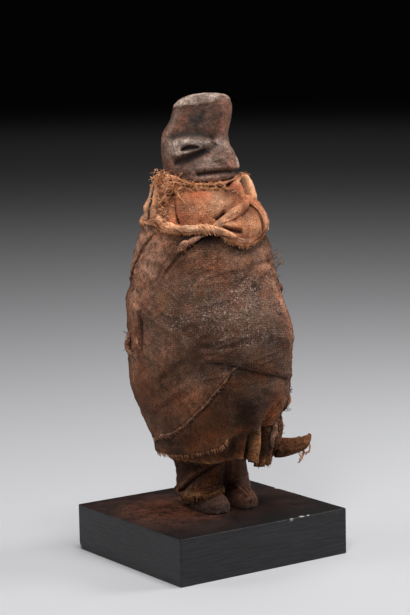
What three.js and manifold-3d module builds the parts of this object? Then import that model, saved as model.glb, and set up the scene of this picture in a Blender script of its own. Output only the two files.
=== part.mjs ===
// A carved wooden power figure, wrapped from neck to ankles in old cloth, on a black block.
// Millimetres, +Z up, the origin in the middle of the block's underside. The figure stands in a
// group of its own, turned on the block: there -Y is the way it faces, and heights start at the
// soles. Directions round an upright axis are given in degrees from the front, + to its left.

import * as THREE from 'three';
import { mergeVertices } from 'three/addons/utils/BufferGeometryUtils.js';
import Module from 'manifold-3d';

const wasm = await Module();
wasm.setup();

// Driving dimensions

const PLINTH = { width: 130, depth: 120, height: 30, edge: 1 };
const FIGURE = { x: 7, y: -3, turn: 18 };
const GAP = 0.3;

// The cloth bundle: height, how far back its axis lies, half width, half depth
const BUNDLE = [
  [26, 3.0, 38, 37],
  [38, 3.0, 39.5, 38.5],
  [43, 3.0, 41, 40],
  [51, 4.5, 43, 42],
  [58, 6.0, 45, 44],
  [66, 6.5, 48, 47],
  [74, 7.0, 50, 50],
  [84, 7.5, 52, 52],
  [98, 7.5, 52.5, 53],
  [112, 7.2, 53, 53.5],
  [124, 8.5, 52, 52.5],
  [137, 10.5, 50, 49.5],
  [150, 11.5, 47.5, 46],
  [162, 12.0, 46, 44],
  [175, 12.0, 43.5, 41],
  [183, 12.0, 38, 34],
  [188, 12.0, 31, 27],
  [192, 12.0, 22, 19],
];
const BUNDLE_GRID = { around: 46, up: 26, top: 192 };

// At the back the bundle is drawn up to the neck: where that starts and is full, how much higher
// it ends, and how much wider it is by height
const SHOULDER = { from: 80, full: 118, rise: 13 };
const SHOULDER_WIDER = [[172, 0], [178, 0.6], [182, 2.6], [188, 9], [194, 15], [200, 12.5], [206, 10.5]];

// Where the outer wrap ends: direction and height
const OUTER_RIM = [[-180, 42], [-135, 39], [-110, 40], [-80, 42], [-60, 45], [-42, 51],
  [-20, 55], [10, 56], [35, 53], [60, 47], [110, 43], [180, 42]];

// The cloth under it: direction, height of the hem and how far inside the bundle it hangs, then
// the pleats, by direction, and the plain oval that is tucked up inside the bundle
const UNDER_HEM = [[-180, 35, 8], [-143, 34, 8], [-112, 34, 6], [-80, 35, 4.5], [-60, 35, 3.5],
  [-42, 37, 3], [-18, 36, 2], [-10, 31, 2], [10, 29, 2.5], [30, 28, 3], [60, 32, 4], [110, 35, 6],
  [180, 35, 8]];
const PLEATS = [
  { at: -36, out: -4.5, width: 9 },
  { at: -26, out: 1.5, width: 8 },
  { at: -15, out: -4, width: 7 },
  { at: -4, out: 2, width: 8 },
  { at: 6, out: -2.5, width: 7 },
  { at: 16, out: 1.5, width: 8 },
];
const TUCK = { halfWidth: 33, halfDepth: 32, back: 4, top: 64 };
const UNDER_RECESS = { halfWidth: 24, halfDepth: 23, height: 46 };

// Folds, hems and seams that show on the bundle: points of direction and height, how far the
// cloth stands out (or in, below zero) and how wide the fold is
const FOLDS = [
  { out: 1.6, width: 8, points: [[-36, 178.5], [-55, 178.5], [-72, 172], [-84, 157], [-103, 136]] },
  { out: -1.5, width: 7, points: [[-103, 136], [-108, 123.5], [-107, 113]] },
  { out: 1.2, width: 8, points: [[-101, 181], [-115, 167.5], [-134, 152.5]] },
  { out: 1.2, width: 8, points: [[-79, 125], [-93, 115], [-107, 105]] },
  { out: 1.8, width: 8, points: [[-121, 50], [-94, 55], [-73, 65], [-55, 80], [-38, 98]] },
  { out: -1.4, width: 7, points: [[-52, 103.5], [-25, 97], [-2, 91], [22, 85.5], [48, 84]] },
  { out: 1.2, width: 9, points: [[-44, 108], [-20, 102], [0, 97], [24, 92], [48, 91]] },
  { out: -2.6, width: 8, points: [[-43, 48], [-33, 52], [-28, 62], [-29, 76]] },
  { out: 1.8, width: 8, points: [[-18, 54], [-18, 64], [-20, 76]] },
  { out: -1.8, width: 7, points: [[-6, 52], [-3, 62], [2, 74]] },
  { out: 1.8, width: 10, points: [[60, 170], [85, 140], [110, 118], [140, 100]] },
  { out: -1.6, width: 8, points: [[80, 62], [120, 70], [160, 66]] },
  { out: 1.6, width: 10, points: [[-150, 170], [-175, 140], [160, 110]] },
];

// The head: height, how far back its axis lies, half width, half depth, squareness, and how
// much narrower the front is than the back
const HEAD = [
  [186, 12.0, 11.0, 10.5, 2.0, 0.0],
  [203, 12.0, 10.5, 11.0, 2.0, 0.0],
  [208, 12.5, 12.0, 14.5, 2.1, 0.0],
  [212, 14.0, 15.3, 20.5, 2.2, 0.02],
  [218, 15.0, 16.8, 22.6, 2.2, 0.04],
  [228, 15.6, 17.3, 23.4, 2.2, 0.06],
  [238, 15.4, 17.0, 23.2, 2.2, 0.10],
  [243, 14.8, 14.8, 22.2, 2.4, 0.16],
  [249, 12.2, 13.4, 21.0, 2.7, 0.22],
  [256, 9.8, 12.6, 20.2, 2.9, 0.28],
  [261, 8.2, 11.6, 18.6, 2.8, 0.28],
  [264.5, 6.8, 9.6, 15.6, 2.5, 0.24],
  [267, 6.0, 6.4, 11.4, 2.3, 0.2],
  [268.2, 5.6, 3.0, 6.0, 2.0, 0.1],
];
const HEAD_GRID = { around: 36, up: 29, axisX: -1 };

// Carving on the head, on both sides alike: points of direction and height, how far it stands
// out of the face and how wide it is
const CARVING = [
  { out: 2.6, width: 5.5, points: [[98, 237], [75, 239.5], [50, 239.5], [24, 238]] },
  { out: -2.4, width: 2.8, points: [[86, 233.4], [65, 235.4], [44, 235]] },
  { out: 1.6, width: 2.6, points: [[92, 229], [68, 231.5], [42, 234]] },
  { out: -3.6, width: 4, points: [[104, 225], [80, 226.5], [56, 229], [40, 231]] },
  { out: -2.6, width: 2.6, points: [[50, 217.8], [30, 218.4], [14, 218.4]] },
  { out: -1.4, width: 3, points: [[130, 239.5], [100, 242.5], [60, 243.6], [30, 242.6]] },
];
const MUZZLE = { out: 3.6, height: 220, tall: 16, width: 46 };
const CHIN = { out: 2.2, height: 213.5, tall: 8, width: 42 };
const NOSE_WIDTH = { root: 6, base: 13 };
const NOSE = [[215, 0], [218, 1.6], [220.5, 3.6], [223.5, 4.8], [228, 5.6], [233, 5.4],
  [236.5, 1.6], [239, 0]];

// Legs and feet: the figure's right leg is at -X, and both feet point along the block
const LEGS = [
  { foot: [-12.9, 3.8], ankle: [-11.5, 13] },
  { foot: [8.6, -3.9], ankle: [14, -2] },
];
const LEG = { radius: 9.8, from: 6, to: 72 };
const FOOT = { length: 40, width: 19.5, height: 13.5, turn: -18 };

// A foot's sections from heel to toes: place along it, width and height as shares of the whole
const FOOT_PROFILE = [[-0.5, 0.5, 0.6], [-0.44, 0.8, 0.9], [-0.2, 0.95, 1.15], [0.1, 1, 1.1],
  [0.32, 0.92, 0.95], [0.44, 0.74, 0.8], [0.5, 0.48, 0.5]];

// The body inside the cloth: height, how far back its axis lies, half width, half depth
const BODY = [
  [66, 8, 21, 17],
  [100, 7.5, 22, 18],
  [150, 11, 20, 16],
  [184, 12, 13, 12],
  [194, 12, 10.8, 10.6],
];

// The neck cloth, by direction: height of its hem, how far the hem stands off the bundle, radius
// of its bulge, radius and height of the rolled edge, radius and height of the collar
const COWL_AXIS = 12;
const COWL = [
  [-180, 202, 2, 33, 32.5, 206, 30, 212],
  [-143, 202, 2, 33, 32, 206, 28.8, 213],
  [-116, 199, 2.5, 35, 33.5, 204, 28, 213],
  [-98, 192, 3, 38, 36, 197, 26, 211],
  [-88, 187, 3, 39.5, 37.5, 192, 25, 208],
  [-78, 182, 3.5, 41, 39, 188, 24, 206],
  [-62, 180, 3.5, 41, 39, 186, 24, 205],
  [-42, 180, 3.5, 42, 39.5, 187, 24, 205],
  [-27, 176, 3.5, 43, 39.5, 190, 24.5, 206],
  [-8, 173, 3.5, 44, 38.5, 195, 26, 208],
  [10, 174.5, 3.5, 43.5, 37, 198, 28, 211],
  [37, 179, 2.5, 42, 35.6, 198.5, 29.2, 212.5],
  [60, 185, 2.5, 40, 35.5, 199, 29.5, 212],
  [90, 195, 2.5, 36, 34.5, 202, 30, 212],
  [120, 202, 2, 33, 32.5, 206, 30, 211],
  [180, 202, 2, 33, 32.5, 206, 30, 212],
];
const CHEST = { from: -98, to: 14, blend: 25, dip: 1.2, swell: 4 };
const COWL_GRID = { around: 36, thickness: 2.8, inner: 17, floor: 198, foot: 186 };
const NECK_CORD = {
  halfWidth: 15.6, halfDepth: 19, back: 12.6, height: 206.6, thickness: 4, around: 28, sides: 8,
};

// Cloth round the right leg: height, half width and half depth, turned like the foot
const LEG_CLOTH = [[10.5, 13.6, 19.6], [16, 13.4, 18.6], [22, 13.2, 17.8], [28, 14.4, 19],
  [32.6, 15.4, 20], [34.2, 11, 14], [44, 10.6, 13.4]];
const LEG_CLOTH_AT = [-12.4, 9];

// The knotted end beside the left hip: where its middle runs, half height and half thickness
const TAIL = [
  { at: [20, -14, 38], tall: 11, thick: 7 },
  { at: [27.5, -19.2, 37], tall: 10.5, thick: 6.8 },
  { at: [32.7, -23.8, 35.4], tall: 6.9, thick: 6 },
  { at: [38.6, -29.4, 36.2], tall: 6, thick: 5 },
  { at: [43.6, -34.1, 37.4], tall: 4.8, thick: 3.8 },
  { at: [46.5, -36.9, 40.8], tall: 2.4, thick: 2.4 },
  { at: [47.6, -37.9, 42.6], tall: 1.1, thick: 1.4 },
];

// Materials

const material = (color, roughness, metalness = 0) =>
  new THREE.MeshStandardMaterial({ color, roughness, metalness });
const blackPaint = material('#1d1c1d', 0.45);
const darkWood = material('#4a3f3a', 0.6);
const brownCloth = material('#5a3f30', 0.95);
const redCloth = material('#6b412c', 0.95);
const darkCloth = material('#4b3327', 0.95);
const tanCloth = material('#a06a48', 0.95);
const paleYarn = material('#8a6446', 0.95);

// Small helpers

const rad = THREE.MathUtils.degToRad;
const bell = (distance, width) => Math.exp(-((2 * distance / width) ** 2));
const lerp = THREE.MathUtils.lerp;

// Rows of numbers that begin with a height or a direction, joined by a smooth curve
function smooth(rows, at) {
  const last = rows.length - 1;
  const x = THREE.MathUtils.clamp(at, rows[0][0], rows[last][0]);
  let i = 0;
  while (i < last - 1 && rows[i + 1][0] < x) i += 1;
  const slope = (k, column) => {
    const a = rows[Math.max(k - 1, 0)];
    const b = rows[Math.min(k + 1, last)];
    return (b[column] - a[column]) / (b[0] - a[0]);
  };
  const step = rows[i + 1][0] - rows[i][0];
  const t = (x - rows[i][0]) / step;
  return rows[i].slice(1).map((value, k) => {
    const c = k + 1;
    return (2 * t ** 3 - 3 * t ** 2 + 1) * value + (t ** 3 - 2 * t ** 2 + t) * step * slope(i, c)
      + (3 * t ** 2 - 2 * t ** 3) * rows[i + 1][c] + (t ** 3 - t ** 2) * step * slope(i + 1, c);
  });
}

// Shortest distance in mm from a direction and height to a line drawn on a round surface
function distanceTo(points, direction, height, radius) {
  const perDegree = rad(1) * radius;
  let best = Infinity;
  for (let i = 0; i + 1 < points.length; i += 1) {
    const offset = (((direction - points[i][0]) % 360) + 540) % 360 - 180;
    const [px, py] = [offset * perDegree, height - points[i][1]];
    const turn = (((points[i + 1][0] - points[i][0]) % 360) + 540) % 360 - 180;
    const [dx, dy] = [turn * perDegree, points[i + 1][1] - points[i][1]];
    const t = THREE.MathUtils.clamp((px * dx + py * dy) / (dx * dx + dy * dy), 0, 1);
    best = Math.min(best, Math.hypot(px - t * dx, py - t * dy));
  }
  return best;
}

// A closed skin over a stack of rings with the same number of points, with a fan at each end
function skin(rings) {
  const around = rings[0].length;
  const positions = rings.flat().flatMap((p) => [p.x, p.y, p.z]);
  const faces = [];
  for (let i = 0; i + 1 < rings.length; i += 1) {
    for (let j = 0; j < around; j += 1) {
      const k = (j + 1) % around;
      const [a, b, c, d] = [i * around + j, i * around + k, (i + 1) * around + k, (i + 1) * around + j];
      faces.push(a, b, c, a, c, d);
    }
  }
  const ends = [[rings[0], 0, true], [rings[rings.length - 1], (rings.length - 1) * around, false]];
  for (const [ring, start, flip] of ends) {
    const centre = ring.reduce((sum, p) => sum.add(p), new THREE.Vector3()).divideScalar(around);
    const index = positions.length / 3;
    positions.push(centre.x, centre.y, centre.z);
    for (let j = 0; j < around; j += 1) {
      const pair = [start + j, start + (j + 1) % around];
      faces.push(index, ...(flip ? pair.reverse() : pair));
    }
  }
  const geometry = new THREE.BufferGeometry();
  geometry.setAttribute('position', new THREE.Float32BufferAttribute(positions, 3));
  geometry.setIndex(faces);
  return geometry;
}

// A ring of points round an upright axis: place(direction in degrees) gives each point
const ring = (around, place) =>
  Array.from({ length: around }, (_, j) => place(-180 + (360 * j) / around));

// A point out from an axis in a direction
const outward = (x, y, direction, radius, height) =>
  new THREE.Vector3(x + radius * Math.sin(rad(direction)), y - radius * Math.cos(rad(direction)), height);

// Radius of an ellipse, or of a squarer oval, in a direction
function ovalRadius(direction, halfWidth, halfDepth, power = 2) {
  const across = Math.abs(Math.sin(rad(direction)) / halfWidth) ** power;
  const along = Math.abs(Math.cos(rad(direction)) / halfDepth) ** power;
  return (across + along) ** (-1 / power);
}

// Upright column through rows of height, setback, half width and half depth
function column(rows, around, grow = 0) {
  const place = ([h, back, a, b]) => (direction) =>
    outward(0, back, direction, ovalRadius(direction, a + grow, b + grow), h);
  return skin(rows.map((row) => ring(around, place(row))));
}

// Joining and cutting

function solid(geometry) {
  const bare = geometry.clone();
  bare.deleteAttribute('normal');
  bare.deleteAttribute('uv');
  const merged = mergeVertices(bare, 1e-4);
  return new wasm.Manifold(new wasm.Mesh({
    numProp: 3,
    vertProperties: new Float32Array(merged.attributes.position.array),
    triVerts: new Uint32Array(merged.index.array),
  }));
}

function meshOf(body, name, look) {
  const { vertProperties, triVerts } = body.getMesh();
  const geometry = new THREE.BufferGeometry();
  geometry.setAttribute('position', new THREE.BufferAttribute(vertProperties, 3));
  geometry.setIndex(new THREE.BufferAttribute(triVerts, 1));
  geometry.computeVertexNormals();
  const mesh = new THREE.Mesh(geometry, look);
  mesh.name = name;
  return mesh;
}

// The block

function plinth() {
  const { width, depth, height, edge } = PLINTH;
  const outline = new THREE.Shape();
  const corners = [[-1, -1], [1, -1], [1, 1], [-1, 1]];
  corners.forEach(([sx, sy], i) => {
    const [x, y] = [(sx * width) / 2, (sy * depth) / 2];
    const eased = [[x, y - sy * edge], [x - sx * edge, y]];
    if (i % 2) eased.reverse();
    for (const point of eased) outline[i === 0 && point === eased[0] ? 'moveTo' : 'lineTo'](...point);
  });
  outline.closePath();
  const geometry = new THREE.ExtrudeGeometry(outline, {
    depth: height - 2 * edge, bevelThickness: edge, bevelSize: edge, bevelOffset: -edge, bevelSegments: 1,
  });
  geometry.translate(0, 0, edge);
  return meshOf(solid(geometry), 'plinth', blackPaint);
}

// The carved figure

function headRadius(direction, height) {
  const [, a, b, power, taper] = smooth(HEAD, height);
  const narrow = 1 - taper * Math.cos(rad(direction));
  const size = (a + b) / 2;
  const across = direction * rad(1) * size;
  let radius = ovalRadius(direction, a * narrow, b, power);
  for (const { out, width, points } of CARVING) {
    const near = Math.min(distanceTo(points, direction, height, size),
      distanceTo(points, -direction, height, size));
    radius += out * bell(near, width * 1.5);
  }
  for (const bulge of [MUZZLE, CHIN]) {
    radius += bulge.out * bell(height - bulge.height, bulge.tall) * bell(across, bulge.width);
  }
  const down = (NOSE[NOSE.length - 1][0] - height) / (NOSE[NOSE.length - 1][0] - NOSE[0][0]);
  return radius + smooth(NOSE, height)[0] * bell(across, lerp(NOSE_WIDTH.root, NOSE_WIDTH.base, down));
}

function head(grow = 0) {
  const from = HEAD[0][0];
  const to = HEAD[HEAD.length - 1][0];
  const rings = [];
  for (let i = 0; i <= HEAD_GRID.up; i += 1) {
    const t = i / HEAD_GRID.up;
    const height = lerp(from, to, 1 - (1 - t) ** 1.35);
    const [back] = smooth(HEAD, height);
    rings.push(ring(HEAD_GRID.around, (direction) =>
      outward(HEAD_GRID.axisX, back, direction, headRadius(direction, height) + grow, height)));
  }
  return solid(skin(rings));
}

// One foot: D-shaped sections with a flat sole, from the heel to the toes
function foot({ foot: [x, y] }, grow = 0) {
  const sides = 12;
  const bellyLevel = 0.35;
  const sections = FOOT_PROFILE.map(([along, wide, high]) => {
    const [halfWidth, top] = [wide * FOOT.width / 2 + grow, high * FOOT.height + grow];
    return Array.from({ length: sides }, (_, j) => {
      const angle = (2 * Math.PI * j) / sides;
      const lift = (Math.max(Math.sin(angle), -bellyLevel) + bellyLevel) / (1 + bellyLevel);
      const [across, forward] = [halfWidth * Math.cos(angle), along * (FOOT.length + 2 * grow)];
      return new THREE.Vector3(across, -forward, lift * top - grow);
    });
  });
  const geometry = skin(sections);
  geometry.rotateZ(rad(FOOT.turn));
  geometry.translate(x, y, 0);
  return solid(geometry);
}

function leg({ ankle: [x, y] }, grow = 0) {
  const rows = [[LEG.from - grow, 0.95, 0], [20, 0.94, 0.2], [36, 1.02, 0.5], [LEG.to + grow, 1.1, 1]];
  const hip = [x * 0.9, 8];
  return solid(skin(rows.map(([height, scale, t]) => ring(16, (direction) =>
    outward(lerp(x, hip[0], t), lerp(y, hip[1], t), direction, LEG.radius * scale + grow, height)))));
}

function figureSolid(grow = 0) {
  let body = head(grow).add(solid(column(BODY, 24, grow)));
  for (const side of LEGS) body = body.add(leg(side, grow)).add(foot(side, grow));
  return body;
}

// The cloth bundle

function foldsAt(direction, height, radius) {
  return FOLDS.reduce((sum, { out, width, points }) =>
    sum + out * bell(distanceTo(points, direction, height, radius), width * 1.8), 0);
}

// 1 at the back, where the bundle is drawn up to the neck, and 0 in front
const drawnUp = (direction) =>
  THREE.MathUtils.smoothstep(Math.abs(direction), SHOULDER.from, SHOULDER.full);

function bundleRadius(direction, height) {
  const [, a, b] = smooth(BUNDLE, height);
  const radius = ovalRadius(direction, a, b) + drawnUp(direction) * smooth(SHOULDER_WIDER, height)[0];
  return radius + foldsAt(direction, height, radius);
}

const bundlePoint = (direction, height, grow = 0) =>
  outward(0, smooth(BUNDLE, height)[0], direction, bundleRadius(direction, height) + grow, height);

function bundleSolid(grow = 0) {
  const rings = [];
  const inside = { halfWidth: TUCK.halfWidth - 6, halfDepth: TUCK.halfDepth - 6 };
  rings.push(ring(BUNDLE_GRID.around, (direction) =>
    outward(0, TUCK.back, direction, ovalRadius(direction, inside.halfWidth, inside.halfDepth),
      smooth(OUTER_RIM, direction)[0] - grow)));
  for (let i = 0; i <= BUNDLE_GRID.up; i += 1) {
    const t = i / BUNDLE_GRID.up;
    rings.push(ring(BUNDLE_GRID.around, (direction) => {
      const rim = smooth(OUTER_RIM, direction)[0] - grow;
      const top = BUNDLE_GRID.top + SHOULDER.rise * drawnUp(direction) + grow;
      return bundlePoint(direction, lerp(rim, top, t), grow);
    }));
  }
  return solid(skin(rings));
}

function tuckColumn(grow = 0) {
  const { back, halfWidth, halfDepth, top } = TUCK;
  const rows = [[20, back, halfWidth, halfDepth], [top + grow, back, halfWidth, halfDepth]];
  return solid(column(rows, 28, grow));
}

function outerWrap(figure) {
  const body = bundleSolid().subtract(tuckColumn(GAP)).subtract(figure);
  return meshOf(body, 'outer_wrap', brownCloth);
}

// The cloth under the bundle: its top is tucked inside the bundle, it hangs in pleats to a
// ragged hem, and it is hollow round the legs
function underWrap(figure) {
  const tucked = (direction) => ovalRadius(direction, TUCK.halfWidth, TUCK.halfDepth);
  const rings = [0, 0.35, 0.7, 1].map((t) => ring(40, (direction) => {
    const [hem, lean] = smooth(UNDER_HEM, direction);
    const rim = smooth(OUTER_RIM, direction)[0] - 2 * GAP;
    const height = lerp(hem, rim, t);
    const [, a, b] = smooth(BUNDLE, height);
    const radius = ovalRadius(direction, a, b) - lerp(lean, 1.8, t);
    const pleats = PLEATS.reduce((sum, { at, out, width }) =>
      sum + out * bell((direction - at) * rad(1) * radius, width), 0);
    return outward(0, 3, direction, radius + pleats * (1.1 - 0.6 * t), height);
  }));
  rings.push(ring(40, (direction) =>
    outward(0, TUCK.back, direction, tucked(direction), smooth(OUTER_RIM, direction)[0] - 2 * GAP)));
  rings.push(ring(40, (direction) => outward(0, TUCK.back, direction, tucked(direction), TUCK.top)));
  const { halfWidth, halfDepth, height } = UNDER_RECESS;
  const recess = solid(column([[10, 3, halfWidth, halfDepth], [height, 3, halfWidth, halfDepth]], 32));
  return solid(skin(rings)).subtract(recess).subtract(figure).subtract(legClothSolid(GAP));
}

// Cloth on the right leg, with a frayed edge over the foot
function legClothSolid(grow = 0) {
  const [x, y] = LEG_CLOTH_AT;
  const last = LEG_CLOTH.length - 1;
  return solid(skin(LEG_CLOTH.map(([height, halfWidth, halfDepth], i) => ring(24, (direction) => {
    const ragged = i === 0 ? 0.8 + 1.8 * Math.sin(rad(direction * 7 + 30)) - grow : 0;
    const tucked = i === last ? grow : 0;
    const radius = ovalRadius(direction - FOOT.turn, halfWidth, halfDepth) + grow;
    return outward(x, y, direction, radius, height + ragged + tucked);
  }))));
}

// The knotted end: flat oval sections along a bent line, tapering to the tip
function tailCloth() {
  const line = new THREE.CatmullRomCurve3(TAIL.map(({ at }) => new THREE.Vector3(...at)));
  const up = new THREE.Vector3(0, 0, 1);
  const sides = 14;
  const steps = (TAIL.length - 1) * 2;
  return solid(skin(Array.from({ length: steps + 1 }, (_, i) => {
    const [a, b] = [TAIL[Math.floor(i / 2)], TAIL[Math.ceil(i / 2)]];
    const [tall, thick] = [(a.tall + b.tall) / 2, (a.thick + b.thick) / 2];
    const centre = line.getPoint(i / steps);
    const side = new THREE.Vector3().crossVectors(line.getTangent(i / steps), up).normalize();
    return Array.from({ length: sides }, (_unused, j) => {
      const angle = (-2 * Math.PI * j) / sides;
      return centre.clone().addScaledVector(side, thick * Math.cos(angle))
        .addScaledVector(up, tall * Math.sin(angle));
    });
  })));
}

// The neck cloth: a ring whose outer face runs from the hem over a bulge and the rolled edge up to
// the collar. In front, the cloth dips behind the rolled edge and swells over the chest.
function neckCloth() {
  const { around, thickness, inner, floor, foot: bottom } = COWL_GRID;
  const section = (direction) => {
    const [hem, off, bulge, roll, rollHeight, collar, top] = smooth(COWL, direction);
    const chest = THREE.MathUtils.smoothstep(direction, CHEST.from, CHEST.from + CHEST.blend)
      * (1 - THREE.MathUtils.smoothstep(direction, CHEST.to - CHEST.blend, CHEST.to));
    const hemRadius = bundleRadius(direction, hem);
    const outline = [
      [hemRadius * 0.85, hem + 2],
      [hemRadius + off, hem],
      [bulge, lerp(hem, rollHeight, 0.45)],
      [roll, rollHeight],
      [roll - 2.2, rollHeight + 1.6],
      [lerp(roll - 2.2, collar, 0.2) - CHEST.dip * chest, rollHeight + 2.2 - 1.2 * chest],
      [lerp(roll, collar, 0.55) + CHEST.swell * chest, lerp(rollHeight, top, 0.6)],
      [collar, top],
      [collar - thickness, top - 0.5],
      [collar - thickness - 1.5, lerp(top, floor, 0.6)],
      [inner, floor],
      [inner, bottom],
    ];
    return outline.map(([radius, height]) => outward(0, COWL_AXIS, direction, radius, height));
  };
  return solid(hoop(Array.from({ length: around }, (_, j) => section(-180 + (360 * j) / around))));
}

// A closed skin round a loop of sections
function hoop(sections) {
  const count = sections[0].length;
  const positions = sections.flat().flatMap((p) => [p.x, p.y, p.z]);
  const faces = [];
  sections.forEach((_, i) => {
    const next = (i + 1) % sections.length;
    for (let j = 0; j < count; j += 1) {
      const k = (j + 1) % count;
      const [a, b, c, d] = [i * count + j, next * count + j, next * count + k, i * count + k];
      faces.push(a, b, c, a, c, d);
    }
  });
  const geometry = new THREE.BufferGeometry();
  geometry.setAttribute('position', new THREE.Float32BufferAttribute(positions, 3));
  geometry.setIndex(faces);
  return geometry;
}

// Twisted yarn bound round the neck
function neckCord(grow = 0) {
  const { halfWidth, halfDepth, back, height, thickness, around, sides } = NECK_CORD;
  return solid(hoop(Array.from({ length: around }, (_, i) => {
    const direction = -180 + (360 * i) / around;
    const middle = ovalRadius(direction, halfWidth, halfDepth);
    return Array.from({ length: sides }, (_unused, j) => {
      const angle = (2 * Math.PI * j) / sides;
      const radius = thickness / 2 + grow;
      const place = [middle + radius * Math.cos(angle), height + radius * Math.sin(angle)];
      return outward(0, back, direction, ...place);
    });
  })));
}

// The scene

const clearFigure = figureSolid(GAP);
const clearBundle = bundleSolid(GAP);
const under = underWrap(clearFigure);
const clearUnder = solid(column([[20, 3, 39.6, 38.6], [60, 3, 39.6, 38.6]], 40));
const tail = tailCloth().subtract(clearBundle).subtract(clearUnder);
const cord = neckCord().subtract(clearFigure).subtract(clearBundle);
const neck = neckCloth().subtract(clearFigure).subtract(clearBundle).subtract(neckCord(GAP));

const figureGroup = new THREE.Group();
figureGroup.position.set(FIGURE.x, FIGURE.y, PLINTH.height + GAP);
figureGroup.rotation.z = rad(FIGURE.turn);
figureGroup.add(
  meshOf(figureSolid(), 'carved_figure', darkWood),
  outerWrap(clearFigure),
  meshOf(under, 'under_wrap', redCloth),
  meshOf(legClothSolid().subtract(clearFigure), 'leg_cloth', darkCloth),
  meshOf(tail, 'tail_cloth', redCloth),
  meshOf(neck, 'neck_cloth', tanCloth),
  meshOf(cord, 'neck_cord', paleYarn),
);

const work = new THREE.Group();
work.add(plinth(), figureGroup);

export default work;
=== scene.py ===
# %% [markdown]
# # A wrapped power figure on a black block
# This lesson builds the looks of a small carved wooden figure that is bundled in old cloth from
# neck to ankles and stands on a black painted block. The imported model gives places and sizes.
# Every shape is worked out with numpy as a grid of points, in millimetres and in the figure's own
# directions: -Y is the way it faces, heights start at its soles, and a direction round an upright
# axis is given in degrees from the front, + towards the figure's left.

# %% Load the frame
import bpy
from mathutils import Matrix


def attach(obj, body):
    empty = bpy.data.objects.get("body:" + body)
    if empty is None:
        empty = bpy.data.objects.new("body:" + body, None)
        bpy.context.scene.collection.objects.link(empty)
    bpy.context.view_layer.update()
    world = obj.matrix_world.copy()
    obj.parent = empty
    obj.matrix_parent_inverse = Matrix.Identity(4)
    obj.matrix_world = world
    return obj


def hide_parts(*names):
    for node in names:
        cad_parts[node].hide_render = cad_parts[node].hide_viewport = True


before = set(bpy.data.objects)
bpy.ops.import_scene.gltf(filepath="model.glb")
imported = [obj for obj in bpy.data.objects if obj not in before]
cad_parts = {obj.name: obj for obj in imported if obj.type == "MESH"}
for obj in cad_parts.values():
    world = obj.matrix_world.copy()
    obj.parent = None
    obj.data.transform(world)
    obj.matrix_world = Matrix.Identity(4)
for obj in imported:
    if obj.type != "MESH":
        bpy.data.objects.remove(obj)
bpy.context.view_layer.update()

import math

import bpy
import numpy as np
from mathutils import Matrix

# %% [markdown]
# The photograph was taken with a long lens from the figure's right, a little above its middle.
# A long lens keeps upright edges nearly parallel. The camera comes first, so that everything
# after it can be judged through it.

# %% Camera
LOOKS_FROM = (-34.80248, 7.51493, -1.03252)  # azimuth, elevation and roll, in degrees
LOOKS_AT = np.array([-0.0018495, 0, 0.161293])
DISTANCE = 1.197498
FOCAL_LENGTH, PHOTO_HEIGHT = 1856.716, 615  # in the photograph's pixels
SENSOR = 36


def camera_axes(azimuth, elevation, roll):
    """Right, up and back of a camera. Back points from the target to the camera: round by the
    azimuth, up by the elevation. Right is level, then right and up turn about back by the roll."""
    a, e, r = np.radians([azimuth, elevation, roll])
    back = np.array([math.sin(a) * math.cos(e), -math.cos(a) * math.cos(e), math.sin(e)])
    level = np.cross([0, 0, 1], back)
    level /= np.linalg.norm(level)
    up = np.cross(back, level)
    return math.cos(r) * level + math.sin(r) * up, math.cos(r) * up - math.sin(r) * level, back


scene = bpy.context.scene
right, up, back = camera_axes(*LOOKS_FROM)
stands_at = LOOKS_AT + back * DISTANCE
camera = bpy.data.objects.new("camera", bpy.data.cameras.new("camera"))
camera.data.sensor_width = SENSOR
camera.data.lens = FOCAL_LENGTH * SENSOR / PHOTO_HEIGHT
camera.data.clip_start, camera.data.clip_end = 0.05, 40
pose = np.eye(4)
pose[:3] = np.stack([right, up, back, stands_at], axis=1)
camera.matrix_world = Matrix(pose.tolist())
scene.collection.objects.link(camera)
scene.camera = camera
print("camera at", stands_at.round(3), "m, lens", round(camera.data.lens, 1), "mm")

# %% [markdown]
# Shapes that were carved or wrapped by hand are best described by a few measured rows of numbers
# with a smooth curve through them. These helpers turn rows into curves, give soft bumps and
# steps, and make the small unevenness that no hand-made surface is without.

# %% Curves, bumps and steps
def smooth(rows, at, values=None):
    """Values between rows that begin with a place: a cubic through each row, which slopes there
    like the line between its two neighbours. With values, rows holds the places alone, and the
    values may be arrays of any shape."""
    rows = np.asarray(rows, float)
    x, y = (rows[:, 0], rows[:, 1:]) if values is None else (rows, np.asarray(values, float))
    wide = (slice(None),) + (None,) * (y.ndim - 1)
    slope = np.empty_like(y)
    slope[1:-1] = (y[2:] - y[:-2]) / (x[2:] - x[:-2])[wide]
    slope[[0, -1]] = (y[[1, -1]] - y[[0, -2]]) / (x[[1, -1]] - x[[0, -2]])[wide]
    at = np.clip(at, x[0], x[-1])
    i = np.clip(np.searchsorted(x, at, side="right") - 1, 0, len(x) - 2)
    more = (...,) + (None,) * (y.ndim - 1)
    step = (x[i + 1] - x[i])[more]
    t = (at - x[i])[more] / step
    return ((2 * t**3 - 3 * t**2 + 1) * y[i] + (t**3 - 2 * t**2 + t) * step * slope[i]
            + (3 * t**2 - 2 * t**3) * y[i + 1] + (t**3 - t**2) * step * slope[i + 1])


def curves(rows, at):
    """The values between rows: an array for each column."""
    return np.moveaxis(smooth(rows, at), -1, 0)


def bell(distance, width):
    """1 in the middle, falling like a bell curve to 0.37 half a width away."""
    return np.exp(-((2 * distance / width) ** 2))


def ramp(start, end, x):
    """0 before start and 1 after end, with a smooth step between."""
    t = np.clip((x - start) / (end - start), 0, 1)
    return t * t * (3 - 2 * t)


def running(steps):
    """Sums of the steps so far, from 0."""
    return np.concatenate([[0], np.cumsum(steps)])


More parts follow.
